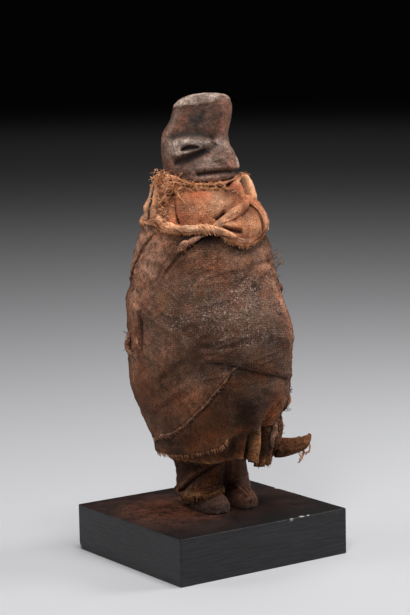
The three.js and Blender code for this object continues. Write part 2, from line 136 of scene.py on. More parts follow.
def field(points, size, seed=0):
    """Smooth random field from -1 to 1: hashed values at the corners of cubes of the given size
    in mm, blended across each cube by a smooth step."""
    place = points / size + 37.31 * (seed + 1)
    cell = np.floor(place).astype(np.int64)
    part = place - cell
    part = part * part * (3 - 2 * part)
    total = np.zeros(points.shape[:-1])
    for corner in np.ndindex(2, 2, 2):
        key = (cell + corner) @ np.array([73856093, 19349663, 83492791]) + 40503 * seed
        key = ((key ^ (key >> 13)) * 1274126177) & 0xFFFFFFFF
        value = ((key ^ (key >> 16)) & 0xFFFF) / 32767.5 - 1
        total += value * np.prod(np.where(corner, part, 1 - part), axis=-1)
    return total


def uneven(points, size, layers=3, seed=0):
    """Fields added up, each half as large and half as strong as the one before."""
    return sum(field(points, size / 2**k, seed + 11 * k) * 0.5**k for k in range(layers))


print("smooth at 5 between rows 0, 10:", smooth([[0, 1], [10, 3]], 5.0))

# %% [markdown]
# The cloth's folds, hems and seams are lines drawn on the wrapped body. To shape the surface
# beside a line, every point has to know how far it is from it, and on which side.

# %% Places round an axis, and lines drawn on them
FIGURE_TURN = math.radians(18)
FIGURE_AT = np.array([7, -3, 30.3])
DEGREE = math.radians(1)
MIDDLE_RADIUS = 45  # of the wrapped body, for lengths along lines that are drawn on it


def on_block(points):
    """Metres in the model's frame: turned 18 degrees about Z, then moved onto the block."""
    c, s = math.cos(FIGURE_TURN), math.sin(FIGURE_TURN)
    turned = points @ np.array([[c, s, 0], [-s, c, 0], [0, 0, 1]])
    return (turned + FIGURE_AT) / 1000


def unturned(points):
    """Metres in the model's frame, for the block and the floor."""
    return points / 1000


def turn_from(direction, other):
    """Degrees from another direction to this one, from -180 to 180."""
    return (direction - other + 180) % 360 - 180


def around(direction, radius, height, x=0.0, y=0.0):
    """Points at a radius from the upright axis through (x, y), in a direction, at a height."""
    a = np.radians(direction)
    rows = np.broadcast_arrays(x + radius * np.sin(a), y - radius * np.cos(a), height)
    return np.stack(rows, axis=-1)


def oval(direction, half_width, half_depth, power=2.0):
    """Radius of an ellipse in a direction. A power above 2 makes it squarer."""
    a = np.radians(direction)
    across = np.abs(np.sin(a) / half_width) ** power
    along = np.abs(np.cos(a) / half_depth) ** power
    return (across + along) ** (-1 / power)


def beside(line, direction, height, radius):
    """Distance in mm to a line of (direction, height) points, + on its left as it runs and - on
    its right, and how far along it the nearest point lies, from 0 to 1."""
    line = np.asarray(line, float)
    mm = DEGREE * radius
    steps = np.hypot(np.diff(line[:, 0]) * DEGREE * MIDDLE_RADIUS, np.diff(line[:, 1]))
    begins = running(steps) / steps.sum()
    best = np.full(np.shape(direction), 1e9)
    side, along = np.ones_like(best), np.zeros_like(best)
    for k, ((a, b), (c, d)) in enumerate(zip(line[:-1], line[1:])):
        px, py = turn_from(direction, a) * mm, height - b
        dx, dy = (c - a) * mm, d - b
        t = np.clip((px * dx + py * dy) / (dx * dx + dy * dy), 0, 1)
        away = np.hypot(px - t * dx, py - t * dy)
        near = away < best
        best = np.where(near, away, best)
        side = np.where(near, np.sign(dx * py - dy * px), side)
        along = np.where(near, begins[k] + t * (begins[k + 1] - begins[k]), along)
    return best * side, along


def faded(along, start=0.12, end=0.12):
    """1 along a line, fading to 0 over a share of it at its start and end."""
    return ramp(0, max(start, 1e-6), along) * ramp(0, max(end, 1e-6), 1 - along)


def ragged_rows(low, top, ragged, count, power=3):
    """Heights of rows that run up from a ragged edge: the edge's raggedness is multiplied by a
    power of the share of the height that is left."""
    share = np.linspace(0, 1, count)[:, None]
    return low + ragged * (1 - share) ** power + (top - low) * share, share


def edge_line(rows, directions, column=0, above=0.3):
    """Points of an edge in some directions, from a column of its rows, a little above it."""
    return [(d, smooth(rows, float(d))[column] + above) for d in directions]


def spots(direction, height, places, radius):
    """The strongest of several soft spots: direction, height, width and height in mm, strength."""
    best = np.zeros(np.broadcast(direction, height).shape)
    for d, h, wide, tall, strong in places:
        off = np.radians(turn_from(direction, d)) * radius
        best = np.maximum(best, strong * bell(off, wide) * bell(height - h, tall))
    return best


def spotted(direction, height, marks, radius):
    """The spots of each mark."""
    return {mark: spots(direction, height, places, radius) for mark, places in marks.items()}


# %% [markdown]
# A grid of points becomes a mesh by naming the four corners of each of its squares. A closed
# loop shares its first and last column, a solid end gets a fan to a middle point, and a sheet of
# cloth gets its thickness from a Solidify modifier.

# %% From points and faces to a piece
def make_piece(name, points, faces, uv, marks, look, slot, place=on_block):
    """A mesh object from points in mm and arrays of faces, with its texture map in mm and its
    marks, which are one number for each point that the materials read."""
    data = bpy.data.meshes.new(name)
    corners = np.concatenate([f.ravel() for f in faces]).astype(np.int32)
    sizes = np.concatenate([np.full(len(f), f.shape[1]) for f in faces])
    data.vertices.add(len(points))
    data.vertices.foreach_set("co", place(points).astype(np.float32).ravel())
    data.loops.add(len(corners))
    data.loops.foreach_set("vertex_index", corners)
    data.polygons.add(len(sizes))
    data.polygons.foreach_set("loop_start", running(sizes)[:-1].astype(np.int32))
    data.update(calc_edges=True)
    data.shade_smooth()
    layer = data.uv_layers.new(name="cloth")
    layer.data.foreach_set("uv", uv.astype(np.float32).ravel())
    for mark, values in marks.items():
        layer = data.attributes.new(mark, "FLOAT", "POINT")
        layer.data.foreach_set("value", values.astype(np.float32))
    data.materials.append(look)
    made = bpy.data.objects.new(name, data)
    scene.collection.objects.link(made)
    if slot:
        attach(made, "root")
    return made


def inside_out(points, faces):
    """True where a closed skin's volume, a sixth of the sum of its corners' triple products, is
    below zero."""
    total = 0
    for f in faces:
        for k in range(1, f.shape[1] - 1):
            a, b, c = points[f[:, 0]], points[f[:, k]], points[f[:, k + 1]]
            total += np.einsum("ij,ij->", a, np.cross(b, c))
    return total < 0


# %% Skins over grids
def texture_map(grid):
    """Texture coordinates in mm: the mean distance along the rows and along the columns."""
    across = np.linalg.norm(np.diff(grid, axis=1), axis=-1).mean(axis=0)
    along = np.linalg.norm(np.diff(grid, axis=0), axis=-1).mean(axis=1)
    return np.stack(np.meshgrid(running(across), running(along)), axis=-1)


def shell(grid, marks=None, uv=None, loop=True, caps=True):
    """Points, faces, map and marks of a skin over a grid (rows, columns, xyz). With loop, the
    last column repeats the first and they are one; caps close the end rows with a fan each."""
    rows, columns = grid.shape[:2]
    uv = texture_map(grid) if uv is None else uv
    wide = columns - 1 if loop else columns
    i, j = np.meshgrid(np.arange(rows - 1), np.arange(columns - 1), indexing="ij")
    around_it = [(i, j), (i, j + 1), (i + 1, j + 1), (i + 1, j)]
    index = np.stack([a * wide + b % wide for a, b in around_it], axis=-1).reshape(-1, 4)
    flat = np.stack([a * columns + b for a, b in around_it], axis=-1).reshape(-1, 4)
    points = grid[:, :wide].reshape(-1, 3)
    marks = {mark: np.broadcast_to(values, (rows, columns))[:, :wide].ravel()
             for mark, values in (marks or {}).items()}
    faces, maps = [index], [uv.reshape(-1, 2)[flat]]
    if loop and caps:
        ring = np.arange(wide)
        for row, pair in ((0, ((ring + 1) % wide, ring)), (rows - 1, (ring, (ring + 1) % wide))):
            first = row * wide
            middle = len(points)
            points = np.concatenate([points, points[first:first + wide].mean(axis=0)[None]])
            marks = {m: np.append(v, v[first:first + wide].mean()) for m, v in marks.items()}
            faces.append(np.stack([np.full(wide, middle), first + pair[0], first + pair[1]], axis=-1))
            maps.append(np.repeat(uv[row, :wide, None], 3, axis=1))
        if inside_out(points, faces):
            faces = [f[:, ::-1] for f in faces]
            maps = [m[:, ::-1] for m in maps]
    return points, faces, np.concatenate([m.reshape(-1, 2) for m in maps]), marks


def skin(name, grid, look, slot, marks=None, uv=None, loop=True, caps=True, thick=0, place=on_block):
    """A piece over one grid. thick makes it a sheet of cloth so many mm thick, inwards."""
    made = make_piece(name, *shell(grid, marks, uv, loop, caps), look, slot, place)
    if thick:
        wall = made.modifiers.new("thickness", "SOLIDIFY")
        wall.thickness, wall.offset, wall.use_even_offset = thick / 1000, -1, False
    return made


def joined(name, shells, look, slot):
    """One piece from several shells: their points and faces behind each other."""
    points, faces, maps, marks = zip(*shells)
    starts = running([len(p) for p in points])
    faces = [f + start for some, start in zip(faces, starts) for f in some]
    names = sorted({mark for some in marks for mark in some})
    spread = {mark: np.concatenate([some.get(mark, np.zeros(len(p))) for some, p in zip(marks, points)])
              for mark in names}
    return make_piece(name, np.concatenate(points), faces, np.concatenate(maps), spread, look, slot)


# %% Threads and rolls along lines
def unit(vectors):
    """The vectors, made 1 long."""
    return vectors / np.maximum(np.linalg.norm(vectors, axis=-1, keepdims=True), 1e-9)


def across_of(line, slant):
    """Two unit vectors across a line: one across its run and a fixed slant, and one across the
    run and the first."""
    run = unit(np.gradient(line, axis=-2))
    aside = unit(np.cross(run, slant))
    return aside, np.cross(aside, run)


def tube_shell(paths, radii, sides):
    """Round tubes along many lines at once: paths (tubes, points, xyz) and radii (tubes, points).
    Both ends are closed."""
    aside, above = across_of(paths, [0.31, 0.57, 0.76])
    angle = np.arange(sides) * 2 * math.pi / sides
    spokes = aside[:, :, None] * np.cos(angle)[:, None] + above[:, :, None] * np.sin(angle)[:, None]
    rings = paths[:, :, None] + spokes * radii[:, :, None, None]
    count, steps = paths.shape[:2]
    t, i, j = np.meshgrid(np.arange(count), np.arange(steps - 1), np.arange(sides), indexing="ij")
    k = (j + 1) % sides
    one = (t * steps + i) * sides
    index = np.stack([one + j, one + sides + j, one + sides + k, one + k], axis=-1).reshape(-1, 4)
    ends = np.arange(count)[:, None] * steps * sides + np.arange(sides)
    faces = [index, ends, (ends + (steps - 1) * sides)[:, ::-1]]
    points = rings.reshape(-1, 3)
    if inside_out(points, faces):
        faces = [f[:, ::-1] for f in faces]
    gone = np.linalg.norm(np.diff(paths, axis=1), axis=-1).cumsum(axis=1)
    length = np.concatenate([np.zeros((count, 1)), gone], axis=1)
    u = np.arange(sides) / sides * 2 * math.pi * radii.mean()
    flat = np.stack(np.broadcast_arrays(u, length[:, :, None]), axis=-1).reshape(-1, 2)
    return points, faces, np.concatenate([flat[f].reshape(-1, 2) for f in faces]), {}


def gone_along(line):
    """Distance gone at each point of a line."""
    return running(np.linalg.norm(np.diff(line, axis=0), axis=1))


def along_path(points, steps):
    """Evenly spaced points on the smooth curve through some points."""
    gone = gone_along(points)
    return smooth(np.column_stack([gone, points]), np.linspace(0, gone[-1], steps))


def twisted(path, ply_radius, pitch, steps, start=0.0):
    """The two plies of a yarn: each is a helix round the path, one turn every pitch mm, as far
    from it as a ply is thick."""
    line = along_path(path, steps)
    aside, above = across_of(line, [0.1, 0.2, 0.97])
    turn = 2 * math.pi * (gone_along(line) / pitch + start)
    phase = turn + np.array([[0], [math.pi]])
    return line + ply_radius * (np.cos(phase)[..., None] * aside + np.sin(phase)[..., None] * above)


def tell(made):
    """Prints a piece's faces and its box in mm."""
    co = np.empty(len(made.data.vertices) * 3, np.float32)
    made.data.vertices.foreach_get("co", co)
    co = co.reshape(-1, 3) * 1000
    print(f"{made.name}: {len(made.data.polygons)} faces, {co.min(0).round(1)} to {co.max(0).round(1)}")
    return made


# %% [markdown]
# Materials are built from nodes. Colours are picked as sRGB hex codes, which are what a screen
# shows, and the shader needs them linear.

# %% Small helpers for materials
def colour(code):
    """Linear colour of an sRGB hex code: c / 12.92 where c is small, else ((c + 0.055) / 1.055)
    to the power 2.4."""
    parts = [int(code[k:k + 2], 16) / 255 for k in (1, 3, 5)]
    return (*[c / 12.92 if c <= 0.04045 else ((c + 0.055) / 1.055) ** 2.4 for c in parts], 1)


def add(tree, kind, inputs=None, **settings):
    """Adds a node and sets it. Inputs go by name or number: a value, an output, or a node, which
    stands for its first output."""
    made = tree.nodes.new("ShaderNode" + kind)
    for key, value in settings.items():
        setattr(made, key, value)
    for key, value in (inputs or {}).items():
        socket = made.inputs[key]
        value = value.outputs[0] if isinstance(value, bpy.types.Node) else value
        if isinstance(value, bpy.types.NodeSocket):
            tree.links.new(value, socket)
        else:
            socket.default_value = value
    return made


def blank(name):
    """A new material with an empty node tree."""
    look = bpy.data.materials.new(name)
    look.use_nodes = True
    look.node_tree.nodes.clear()
    return look, look.node_tree


def per_mm(size):
    """Noise scale, in cells a metre, for features of a size in mm."""
    return 1000 / size


# %% [markdown]
# The cloth is old plain-woven cotton, stained with oil, earth and red camwood. It is dull, so its
# roughness is high and its gloss low. Its threads show as rows of bumps. The tops of the threads
# are paler, where old stains are worn off and as a painted highlight, and the gaps between them
# are darker: painted shade. The real threads are about 0.9 mm apart, and they are drawn 1.5 mm
# apart, so that they still show in the picture.

# %% Woven threads, uneven stains, and painted light and shade
def weave_of(tree, here, pitch):
    """Height of a plain weave: the sine of each map direction is one thread wide, and the sign of
    their product says which thread lies on top. Noise bends the threads a little."""
    sway = add(tree, "TexNoise", {"Vector": here, "Scale": per_mm(8), "Detail": 2.0})
    flat = add(tree, "UVMap", uv_map="cloth")
    bent = add(tree, "VectorMath", {0: sway.outputs["Color"], 1: (3, 3, 0), 2: flat},
               operation="MULTIPLY_ADD")
    turns = add(tree, "VectorMath", {0: bent, 3: math.pi / pitch}, operation="SCALE")
    run = add(tree, "SeparateXYZ", {0: turns})
    across = add(tree, "Math", {0: run.outputs[0]}, operation="SINE")
    along = add(tree, "Math", {0: run.outputs[1]}, operation="SINE")
    product = add(tree, "Math", {0: across, 1: along}, operation="MULTIPLY")
    above = add(tree, "Math", {0: product, 1: 0.0}, operation="GREATER_THAN")
    warp = add(tree, "Math", {0: across}, operation="ABSOLUTE")
    weft = add(tree, "Math", {0: along}, operation="ABSOLUTE")
    return add(tree, "Mix", {0: above, 2: weft, 3: warp})


def laid_over(tree, tone, layers, blend="MIX"):
    """Colours laid over a tone one after the other, each by an amount. A colour is a hex code or
    an output."""
    for amount, other in layers:
        other = colour(other) if isinstance(other, str) else other
        inputs = {0: amount, 6: tone, 7: other}
        tone = add(tree, "Mix", inputs, data_type="RGBA", blend_type=blend).outputs[2]
    return tone


def grey_of(tree, value, low, high, dark, light):
    """A grey that runs from dark to light as the value runs from low to high."""
    level = add(tree, "MapRange", {0: value, 1: low, 2: high, 3: dark, 4: light})
    return add(tree, "CombineXYZ", {0: level, 1: level, 2: level}).outputs[0]


def shaded(tree, tone, greys):
    """A tone times a grey for each row of value, low, high, dark and light."""
    return laid_over(tree, tone, [(1.0, grey_of(tree, *row)) for row in greys], "MULTIPLY")


# %% Old plain-woven cloth
def old_cloth(name, ground, dark, worn_and_lit, rust, pitch=1.4, threads=1.0, speckle=1.0):
    """Patches of two tones; the four marks, which are stains and partly painted light and shade;
    greys that mottle the tone and paint shade into the gaps between the threads; and a paler tone on
    the threads' tops and fluff, which is wear and a painted highlight. threads is how much the weave
    shows."""
    look, tree = blank(name)
    here = add(tree, "TexCoord").outputs["Object"]
    marks = {m: add(tree, "Attribute", attribute_name=m).outputs["Fac"]
             for m in ("rust", "grime", "crust", "pale")}
    weave = weave_of(tree, here, pitch)
    sizes = ((22, 7.0, 0.65), (10, 6.0, 0.7), (3.4, 5.0, 0.75), (1.1, 4.0, 0.7), (13, 4.0, 0.6),
             (8, 6.0, 0.7))
    large, middle, small, fuzz, hue, cake = [
        add(tree, "TexNoise",
            {"Vector": here, "Scale": per_mm(size), "Detail": detail, "Roughness": rough})
        for size, detail, rough in sizes]
    patches = add(tree, "MapRange", {0: large, 1: 0.4, 2: 0.62})
    warm = add(tree, "MapRange", {0: middle, 1: 0.53, 2: 0.68, 3: 0.0, 4: 0.35})
    tone = laid_over(tree, colour(ground), [(patches, dark), (warm, rust)])
    spread = add(tree, "MapRange", {0: small, 1: 0.33, 2: 0.62, 3: 0.3, 4: 1.15})
    # The paler tone is partly worn cloth and partly painted light, and the near-black is partly grime and
    # partly painted shade, as the marks call for.
    for mark, code in (("rust", rust), ("pale", worn_and_lit), ("grime", "#1b1411")):
        amount = add(tree, "Math", {0: marks[mark], 1: spread}, operation="MULTIPLY", use_clamp=True)
        tone = laid_over(tree, tone, [(amount, code)])
    cooler = add(tree, "MapRange", {0: hue, 1: 0.4, 2: 0.6})
    shift = add(tree, "Mix", {0: cooler, 6: (1.08, 0.98, 0.9, 1), 7: (0.93, 1.01, 1.08, 1)},
                data_type="RGBA")
    tone = laid_over(tree, tone, [(1.0, shift.outputs[2])], "MULTIPLY")
    # The last grey darkens the gaps between the threads: painted shade. The others mottle the tone.
    tone = shaded(tree, tone, [
        (middle, 0.36, 0.64, 1 - 0.3 * speckle, 1 + 0.32 * speckle),
        (small, 0.3, 0.7, 1 - 0.4 * speckle, 1 + 0.4 * speckle),
        (fuzz, 0.3, 0.7, 1 - 0.34 * speckle, 1 + 0.36 * speckle),
        (weave, 0.1, 1.0, 1 - 0.42 * threads, 1 + 0.2 * threads)])
    # The fluff and the tops of the threads get the paler tone: lint, and a painted highlight on the raised
    # threads.
    raised = add(tree, "Math", {0: weave, 1: 0.22}, operation="MULTIPLY")
    fluff_and_thread_tops = add(tree, "Math", {0: fuzz, 1: raised}, operation="ADD")
    lint_and_highlight = add(tree, "MapRange", {0: fluff_and_thread_tops, 1: 0.8, 2: 0.92, 3: 0.0, 4: 0.6})
    tone = laid_over(tree, tone, [(lint_and_highlight, worn_and_lit)])

    called = add(tree, "Math", {0: marks["crust"], 1: 0.4, 2: cake}, operation="MULTIPLY_ADD")
    caked = add(tree, "MapRange", {0: called, 1: 0.64, 2: 0.86})
    thin = add(tree, "MapRange", {0: cake, 1: 0.36, 2: 0.64, 3: 0.05, 4: 0.8})
    film = add(tree, "Math", {0: marks["crust"], 1: thin}, operation="MULTIPLY", use_clamp=True)
    # The crust's dusty film is darker between the threads: painted shade.
    film_thread_shade = grey_of(tree, weave, 0.1, 1.0, 0.4, 1.15)
    dusty = add(tree, "VectorMath", {0: film_thread_shade, 1: colour("#8a6c5e")[:3]}, operation="MULTIPLY")
    flake = add(tree, "TexNoise", {
        "Vector": here, "Scale": per_mm(1.7), "Detail": 5.0, "Roughness": 0.85, "Distortion": 0.6})
    crumbs = add(tree, "MapRange", {0: flake, 1: 0.54, 2: 0.59})
    pits = add(tree, "MapRange", {0: flake, 1: 0.47, 2: 0.41})
    crusted = add(tree, "Math", {0: caked, 1: crumbs}, operation="MULTIPLY", use_clamp=True)
    pitted = add(tree, "Math", {0: caked, 1: pits}, operation="MULTIPLY", use_clamp=True)
    ash = add(tree, "MapRange", {0: fuzz, 1: 0.4, 2: 0.62})
    ashes = add(tree, "Mix", {0: ash, 6: colour("#8c6650"), 7: colour("#ead4c4")}, data_type="RGBA")
    tone = laid_over(tree, tone,
                     [(film, dusty.outputs[0]), (pitted, "#241a15"), (crusted, ashes.outputs[2])])

    height = fuzz
    for part, strong in ((weave, 0.55 * threads), (small, 1.4), (crusted, 0.7)):
        height = add(tree, "Math", {0: part, 1: strong, 2: height}, operation="MULTIPLY_ADD")
    bump = add(tree, "Bump", {"Height": height, "Distance": 0.001, "Strength": 1.0})
    shader = add(tree, "BsdfPrincipled", {
        "Base Color": tone, "Roughness": 0.9, "Sheen Weight": 0.04, "Sheen Roughness": 0.5,
        "Specular IOR Level": 0.12, "Normal": bump})
    add(tree, "OutputMaterial", {0: shader})
    return look


brown_cotton = old_cloth("brown_stained_cotton", "#644029", "#3b2518", "#b28269", "#864a2a", 1.4, 0.75,
                         0.85)
red_cotton = old_cloth("red_stained_cotton", "#5e3a22", "#352114", "#ab774f", "#814526", 1.4, 0.8, 0.9)
dark_cotton = old_cloth("dark_stained_cotton", "#603b26", "#392417", "#9e6e4a", "#7e4526")
orange_cotton = old_cloth("orange_tan_cotton", "#b26b46", "#8d583a", "#f2b58b", "#b0583a", 1.1, 0.6, 0.55)
print("cloths:", [m.name for m in (brown_cotton, red_cotton, dark_cotton, orange_cotton)])

# %% [markdown]
# Frayed threads and bound yarn are the same cotton and raffia, out of the weave. They are thin,
# so one tone with slight changes along them is enough.

# %% Loose threads and yarn
def loose_yarn(name, tan, brown, size):
    """A fibre's tone changes along it over a size in mm."""
    look, tree = blank(name)
    here = add(tree, "TexCoord").outputs["Object"]
    change = add(tree, "TexNoise", {"Vector": here, "Scale": per_mm(size), "Detail": 4.0})
    share = add(tree, "MapRange", {0: change, 1: 0.36, 2: 0.64})
    tone = add(tree, "Mix", {0: share, 6: colour(tan), 7: colour(brown)}, data_type="RGBA")
    fibre = add(tree, "TexNoise", {"Vector": here, "Scale": per_mm(0.5), "Detail": 2.0})
    bump = add(tree, "Bump", {"Height": fibre, "Distance": 0.0003, "Strength": 0.8})
    shader = add(tree, "BsdfPrincipled", {
        "Base Color": tone.outputs[2], "Roughness": 0.85, "Sheen Weight": 0.05, "Specular IOR Level": 0.2,
        "Normal": bump})
    add(tree, "OutputMaterial", {0: shader})
    return look


tan_thread = loose_yarn("orange_tan_thread", "#e0a67c", "#a0653c", 5)
brown_thread = loose_yarn("brown_thread", "#96633f", "#43291a", 4)
raffia = loose_yarn("twisted_raffia", "#b37e52", "#5f3a22", 6)

# %% [markdown]
# The figure is dense dark wood, carved with a knife, oiled and handled until it shines a little.
# A greyish satin lies on what stands proud: the sheen of handling, and a painted highlight on the
# crest's top, the brow and the jaw, where the light falls. Rubbing has laid bare the reddish wood in
# places. The grain runs upright, so noise is stretched along Z to make it.

# %% Carved and handled wood, with a painted highlight
def handled_wood():
    """Two browns in clouds, the reddish wood under them where the marks call for it, the grey
    satin of handling with a painted highlight in it, and specks, all shaded by the grain, the
    clouds and the cuts."""
    look, tree = blank("dark_handled_wood")
    here = add(tree, "TexCoord").outputs["Object"]
    names = ("bare", "shine", "shade")
    bare, shine, shade = [add(tree, "Attribute", attribute_name=mark).outputs["Fac"] for mark in names]
    upright = add(tree, "Mapping", {0: here, "Scale": (1, 1, 0.12)})
    grain, cloud, fine, speck, blotch = [
        add(tree, "TexNoise",
            {"Vector": where, "Scale": per_mm(size), "Detail": detail, "Roughness": rough})
        for where, size, detail, rough in (
            (upright, 1.3, 6.0, 0.7), (here, 9, 6.0, 0.65), (here, 1.1, 5.0, 0.7), (here, 1.6, 6.0, 0.85),
            (here, 3.2, 5.0, 0.75))]
    dirt = add(tree, "MapRange", {0: cloud, 1: 0.36, 2: 0.66})
    tone = add(tree, "Mix", {0: dirt, 6: colour("#78533f"), 7: colour("#39261c")}, data_type="RGBA")
    veins = add(tree, "MapRange", {0: grain, 1: 0.36, 2: 0.66})
    red = add(tree, "Mix", {0: veins, 6: colour("#a9664a"), 7: colour("#633827")}, data_type="RGBA")
    patchy = add(tree, "MapRange", {0: fine, 1: 0.3, 2: 0.7, 3: 0.45, 4: 1.3})
    amount = add(tree, "Math", {0: bare, 1: patchy}, operation="MULTIPLY", use_clamp=True)
    # The grey satin is the sheen of handling and a painted highlight where the head is lit.
    worn_and_lit = add(tree, "Math", {0: shine, 1: patchy}, operation="MULTIPLY", use_clamp=True)
    tone = laid_over(tree, tone.outputs[2], [(amount, red.outputs[2]), (worn_and_lit, "#a79184")])
    tone = shaded(tree, tone, [(cloud, 0.36, 0.64, 0.6, 1.34), (blotch, 0.36, 0.64, 0.5, 1.5),
                               (fine, 0.32, 0.68, 0.55, 1.5), (grain, 0.34, 0.66, 0.88, 1.12)])
    pale_specks = add(tree, "MapRange", {0: speck, 1: 0.6, 2: 0.68, 3: 0.0, 4: 0.42})
    dark_specks = add(tree, "MapRange", {0: speck, 1: 0.4, 2: 0.33, 3: 0.0, 4: 0.7})
    tone = laid_over(tree, tone, [(pale_specks, "#b5a193"), (dark_specks, "#1d120d"), (shade, "#140d0a")])
    height = add(tree, "Math", {0: grain, 1: 0.6, 2: fine}, operation="MULTIPLY_ADD")
    height = add(tree, "Math", {0: blotch, 1: 2.5, 2: height}, operation="MULTIPLY_ADD")
    bump = add(tree, "Bump", {"Height": height, "Distance": 0.0007, "Strength": 0.9})
    rough = add(tree, "MapRange", {0: fine, 1: 0.3, 2: 0.7, 3: 0.42, 4: 0.72})
    shader = add(tree, "BsdfPrincipled", {
        "Base Color": tone, "Roughness": rough, "Specular IOR Level": 0.35, "Normal": bump})
    add(tree, "OutputMaterial", {0: shader})
    return look


wood = handled_wood()
print("wood:", wood.name)

# %% [markdown]
# The block is planed wood under black satin paint. Paint shows the fine grain as faint level
# lines. Red earth and camwood powder have fallen on its top round the feet, and small chips on
# the top edge show the pale wood. The top face is painted a deeper black than the sides: painted
# shade. Dust, chips and the deeper top are marks on the mesh.

# %% Black satin paint
def black_paint():
    """Black with level streaks, deeper on the top as painted shade, where dust in two reddish tones
    lies in drifts, and pale wood in the chips. Dust is rougher than paint."""
    look, tree = blank("black_satin_paint")
    here = add(tree, "TexCoord").outputs["Object"]
    names = ("dust", "chip", "top")
    dust, chip, top = [add(tree, "Attribute", attribute_name=mark).outputs["Fac"] for mark in names]
    level = add(tree, "Mapping", {0: here, "Scale": (0.06, 0.06, 1)})
    lines, cloud, fine = [
        add(tree, "TexNoise",
            {"Vector": where, "Scale": per_mm(size), "Detail": detail, "Roughness": rough})
        for where, size, detail,
        rough in ((level, 0.8, 4.0, 0.6), (here, 14, 6.0, 0.7), (here, 1.6, 6.0, 0.75))]
    streak = add(tree, "MapRange", {0: lines, 1: 0.36, 2: 0.62})
    spread = add(tree, "Math", {0: cloud, 1: fine}, operation="ADD")
    spread = add(tree, "MapRange", {0: spread, 1: 0.8, 2: 1.2, 3: 0.05, 4: 1.6})
    amount = add(tree, "Math", {0: dust, 1: spread}, operation="MULTIPLY", use_clamp=True)
    earth = add(tree, "Mix", {0: fine, 6: colour("#2a1a13"), 7: colour("#97573a")}, data_type="RGBA")
    # The top mark lays a deeper black on the top face: painted shade.
    layers = [(streak, "#242427"), (top, "#0b0a0a"), (amount, earth.outputs[2]), (chip, "#a5a19c")]
    tone = laid_over(tree, colour("#0e0e10"), layers)
    rough = add(tree, "MapRange", {0: amount, 1: 0.0, 2: 1.0, 3: 0.42, 4: 0.85})
    height = add(tree, "Math", {0: lines, 1: 2.0, 2: fine}, operation="MULTIPLY_ADD")
    bump = add(tree, "Bump", {"Height": height, "Distance": 0.0003, "Strength": 0.6})
    shader = add(tree, "BsdfPrincipled", {
        "Base Color": tone, "Roughness": rough, "Specular IOR Level": 0.4, "Normal": bump})
    add(tree, "OutputMaterial", {0: shader})
    return look


paint = black_paint()
print("paint:", paint.name)

# %% [markdown]
# The studio is a plain pale floor that falls away into the dark, with large soft lights. Most
# light comes from above, so that the crest, the shoulders and the block's top catch it.

# %% Floor, lights and view
def stage_floor():
    """A disc 15 m wide that is finest in the middle, of pale matt paper."""
    look, tree = blank("pale_matt_paper")
    shader = add(tree, "BsdfPrincipled", {
        "Base Color": colour("#b4b4b6"), "Roughness": 0.95, "Specular IOR Level": 0.1})
    add(tree, "OutputMaterial", {0: shader})
    angle = np.linspace(-180, 180, 97)[None]
    for name, radius in (("floor", np.geomspace(200, 15000, 24)), ("floor_middle", [0, 200])):
        grid = around(angle, np.array(radius, float)[:, None], 0.0)
        skin(name, grid, look, None, caps=False, place=unturned)


LIGHTS = [  # name, place and aim in metres, size, watts
    ("top", (0, -0.25, 1.2), (0, 0, 0.2), 0.45, 12),
    ("left_side", (-0.78, 0.45, 0.62), (0, 0, 0.2), 0.4, 3),
    ("right_side", (0.92, -0.42, 0.6), (0, 0, 0.2), 0.4, 7.3),
    ("front_left", (-0.85, -0.8, 1.25), (0, 0, 0.24), 0.4, 9),
    ("floor_near", (0.51, 0.74, 2.4), (0.51, 0.74, 0), 0.8, 11.3),
    ("floor_far", (3.4, 4.9, 3.5), (3.4, 4.9, 0), 1.5, 2.6),
]


def soft_light(name, at, aim, size, watts):
    """A square white light at a point, aimed at another."""
    lamp = bpy.data.lights.new(name, "AREA")
    lamp.size, lamp.energy = size, watts
    made = bpy.data.objects.new(name, lamp)
    away = unit(np.subtract(at, aim))
    side = unit(np.cross([0.01, 1, 0.02], away))
    turned = np.eye(4)
    turned[:3] = np.stack([side, np.cross(away, side), away, at], axis=1)
    made.matrix_world = Matrix(turned.tolist())
    scene.collection.objects.link(made)


stage_floor()
for row in LIGHTS:
    soft_light(*row)
world = bpy.data.worlds.new("dark_room")
world.use_nodes = True
world.node_tree.nodes["Background"].inputs[0].default_value = colour("#030304")
scene.world = world
scene.view_settings.view_transform = "Standard"

# %% [markdown]
# The block is a piece of timber, planed, with its edges just broken by sandpaper. Its outline is
# a rectangle with small round corners, and rows of that outline run up its sides, over the edge
# and in across its top. Chips are small dents pressed into the edge.

# %% The black block
BLOCK_HALF = np.array([65.0, 60.0])
BLOCK_TOP = 30
EDGE = 0.5  # radius of the broken edges
CHIPS = [  # place, width, height and depth of each dent
    (20.8, -60, 29.5, 2.4, 1.2, 0.7), (29, -60, 30, 4.6, 0.5, 0.2), (34, -60, 30, 3, 0.4, 0.15),
    (65, 14, 29.8, 4, 1.4, 0.5), (30, 60, 29.8, 5, 1.2, 0.5), (-64.8, 59.6, 0.4, 4, 3, 0.6),
]


def rounded_outline(half_x, half_y, corner, step):
    """Points round a rectangle, anticlockwise: an arc at each corner, and points between that
    are a step apart."""
    arcs = []
    for k, (sx, sy) in enumerate([(1, 1), (-1, 1), (-1, -1), (1, -1)]):
        turn = np.radians(np.linspace(0, 90, 6) + 90 * k)
        middle = [sx * (half_x - corner), sy * (half_y - corner)]
        arcs.append(middle + corner * np.column_stack([np.cos(turn), np.sin(turn)]))
    ring = np.concatenate([*arcs, arcs[0][:1]])
    gone = gone_along(ring)
    places = np.sort(np.concatenate([gone, np.arange(0, gone[-1], step)]))
    places = places[np.concatenate([[True], np.diff(places) > 0.15])]
    places[-1] = gone[-1]
    return np.column_stack([np.interp(places, gone, side) for side in ring.T])


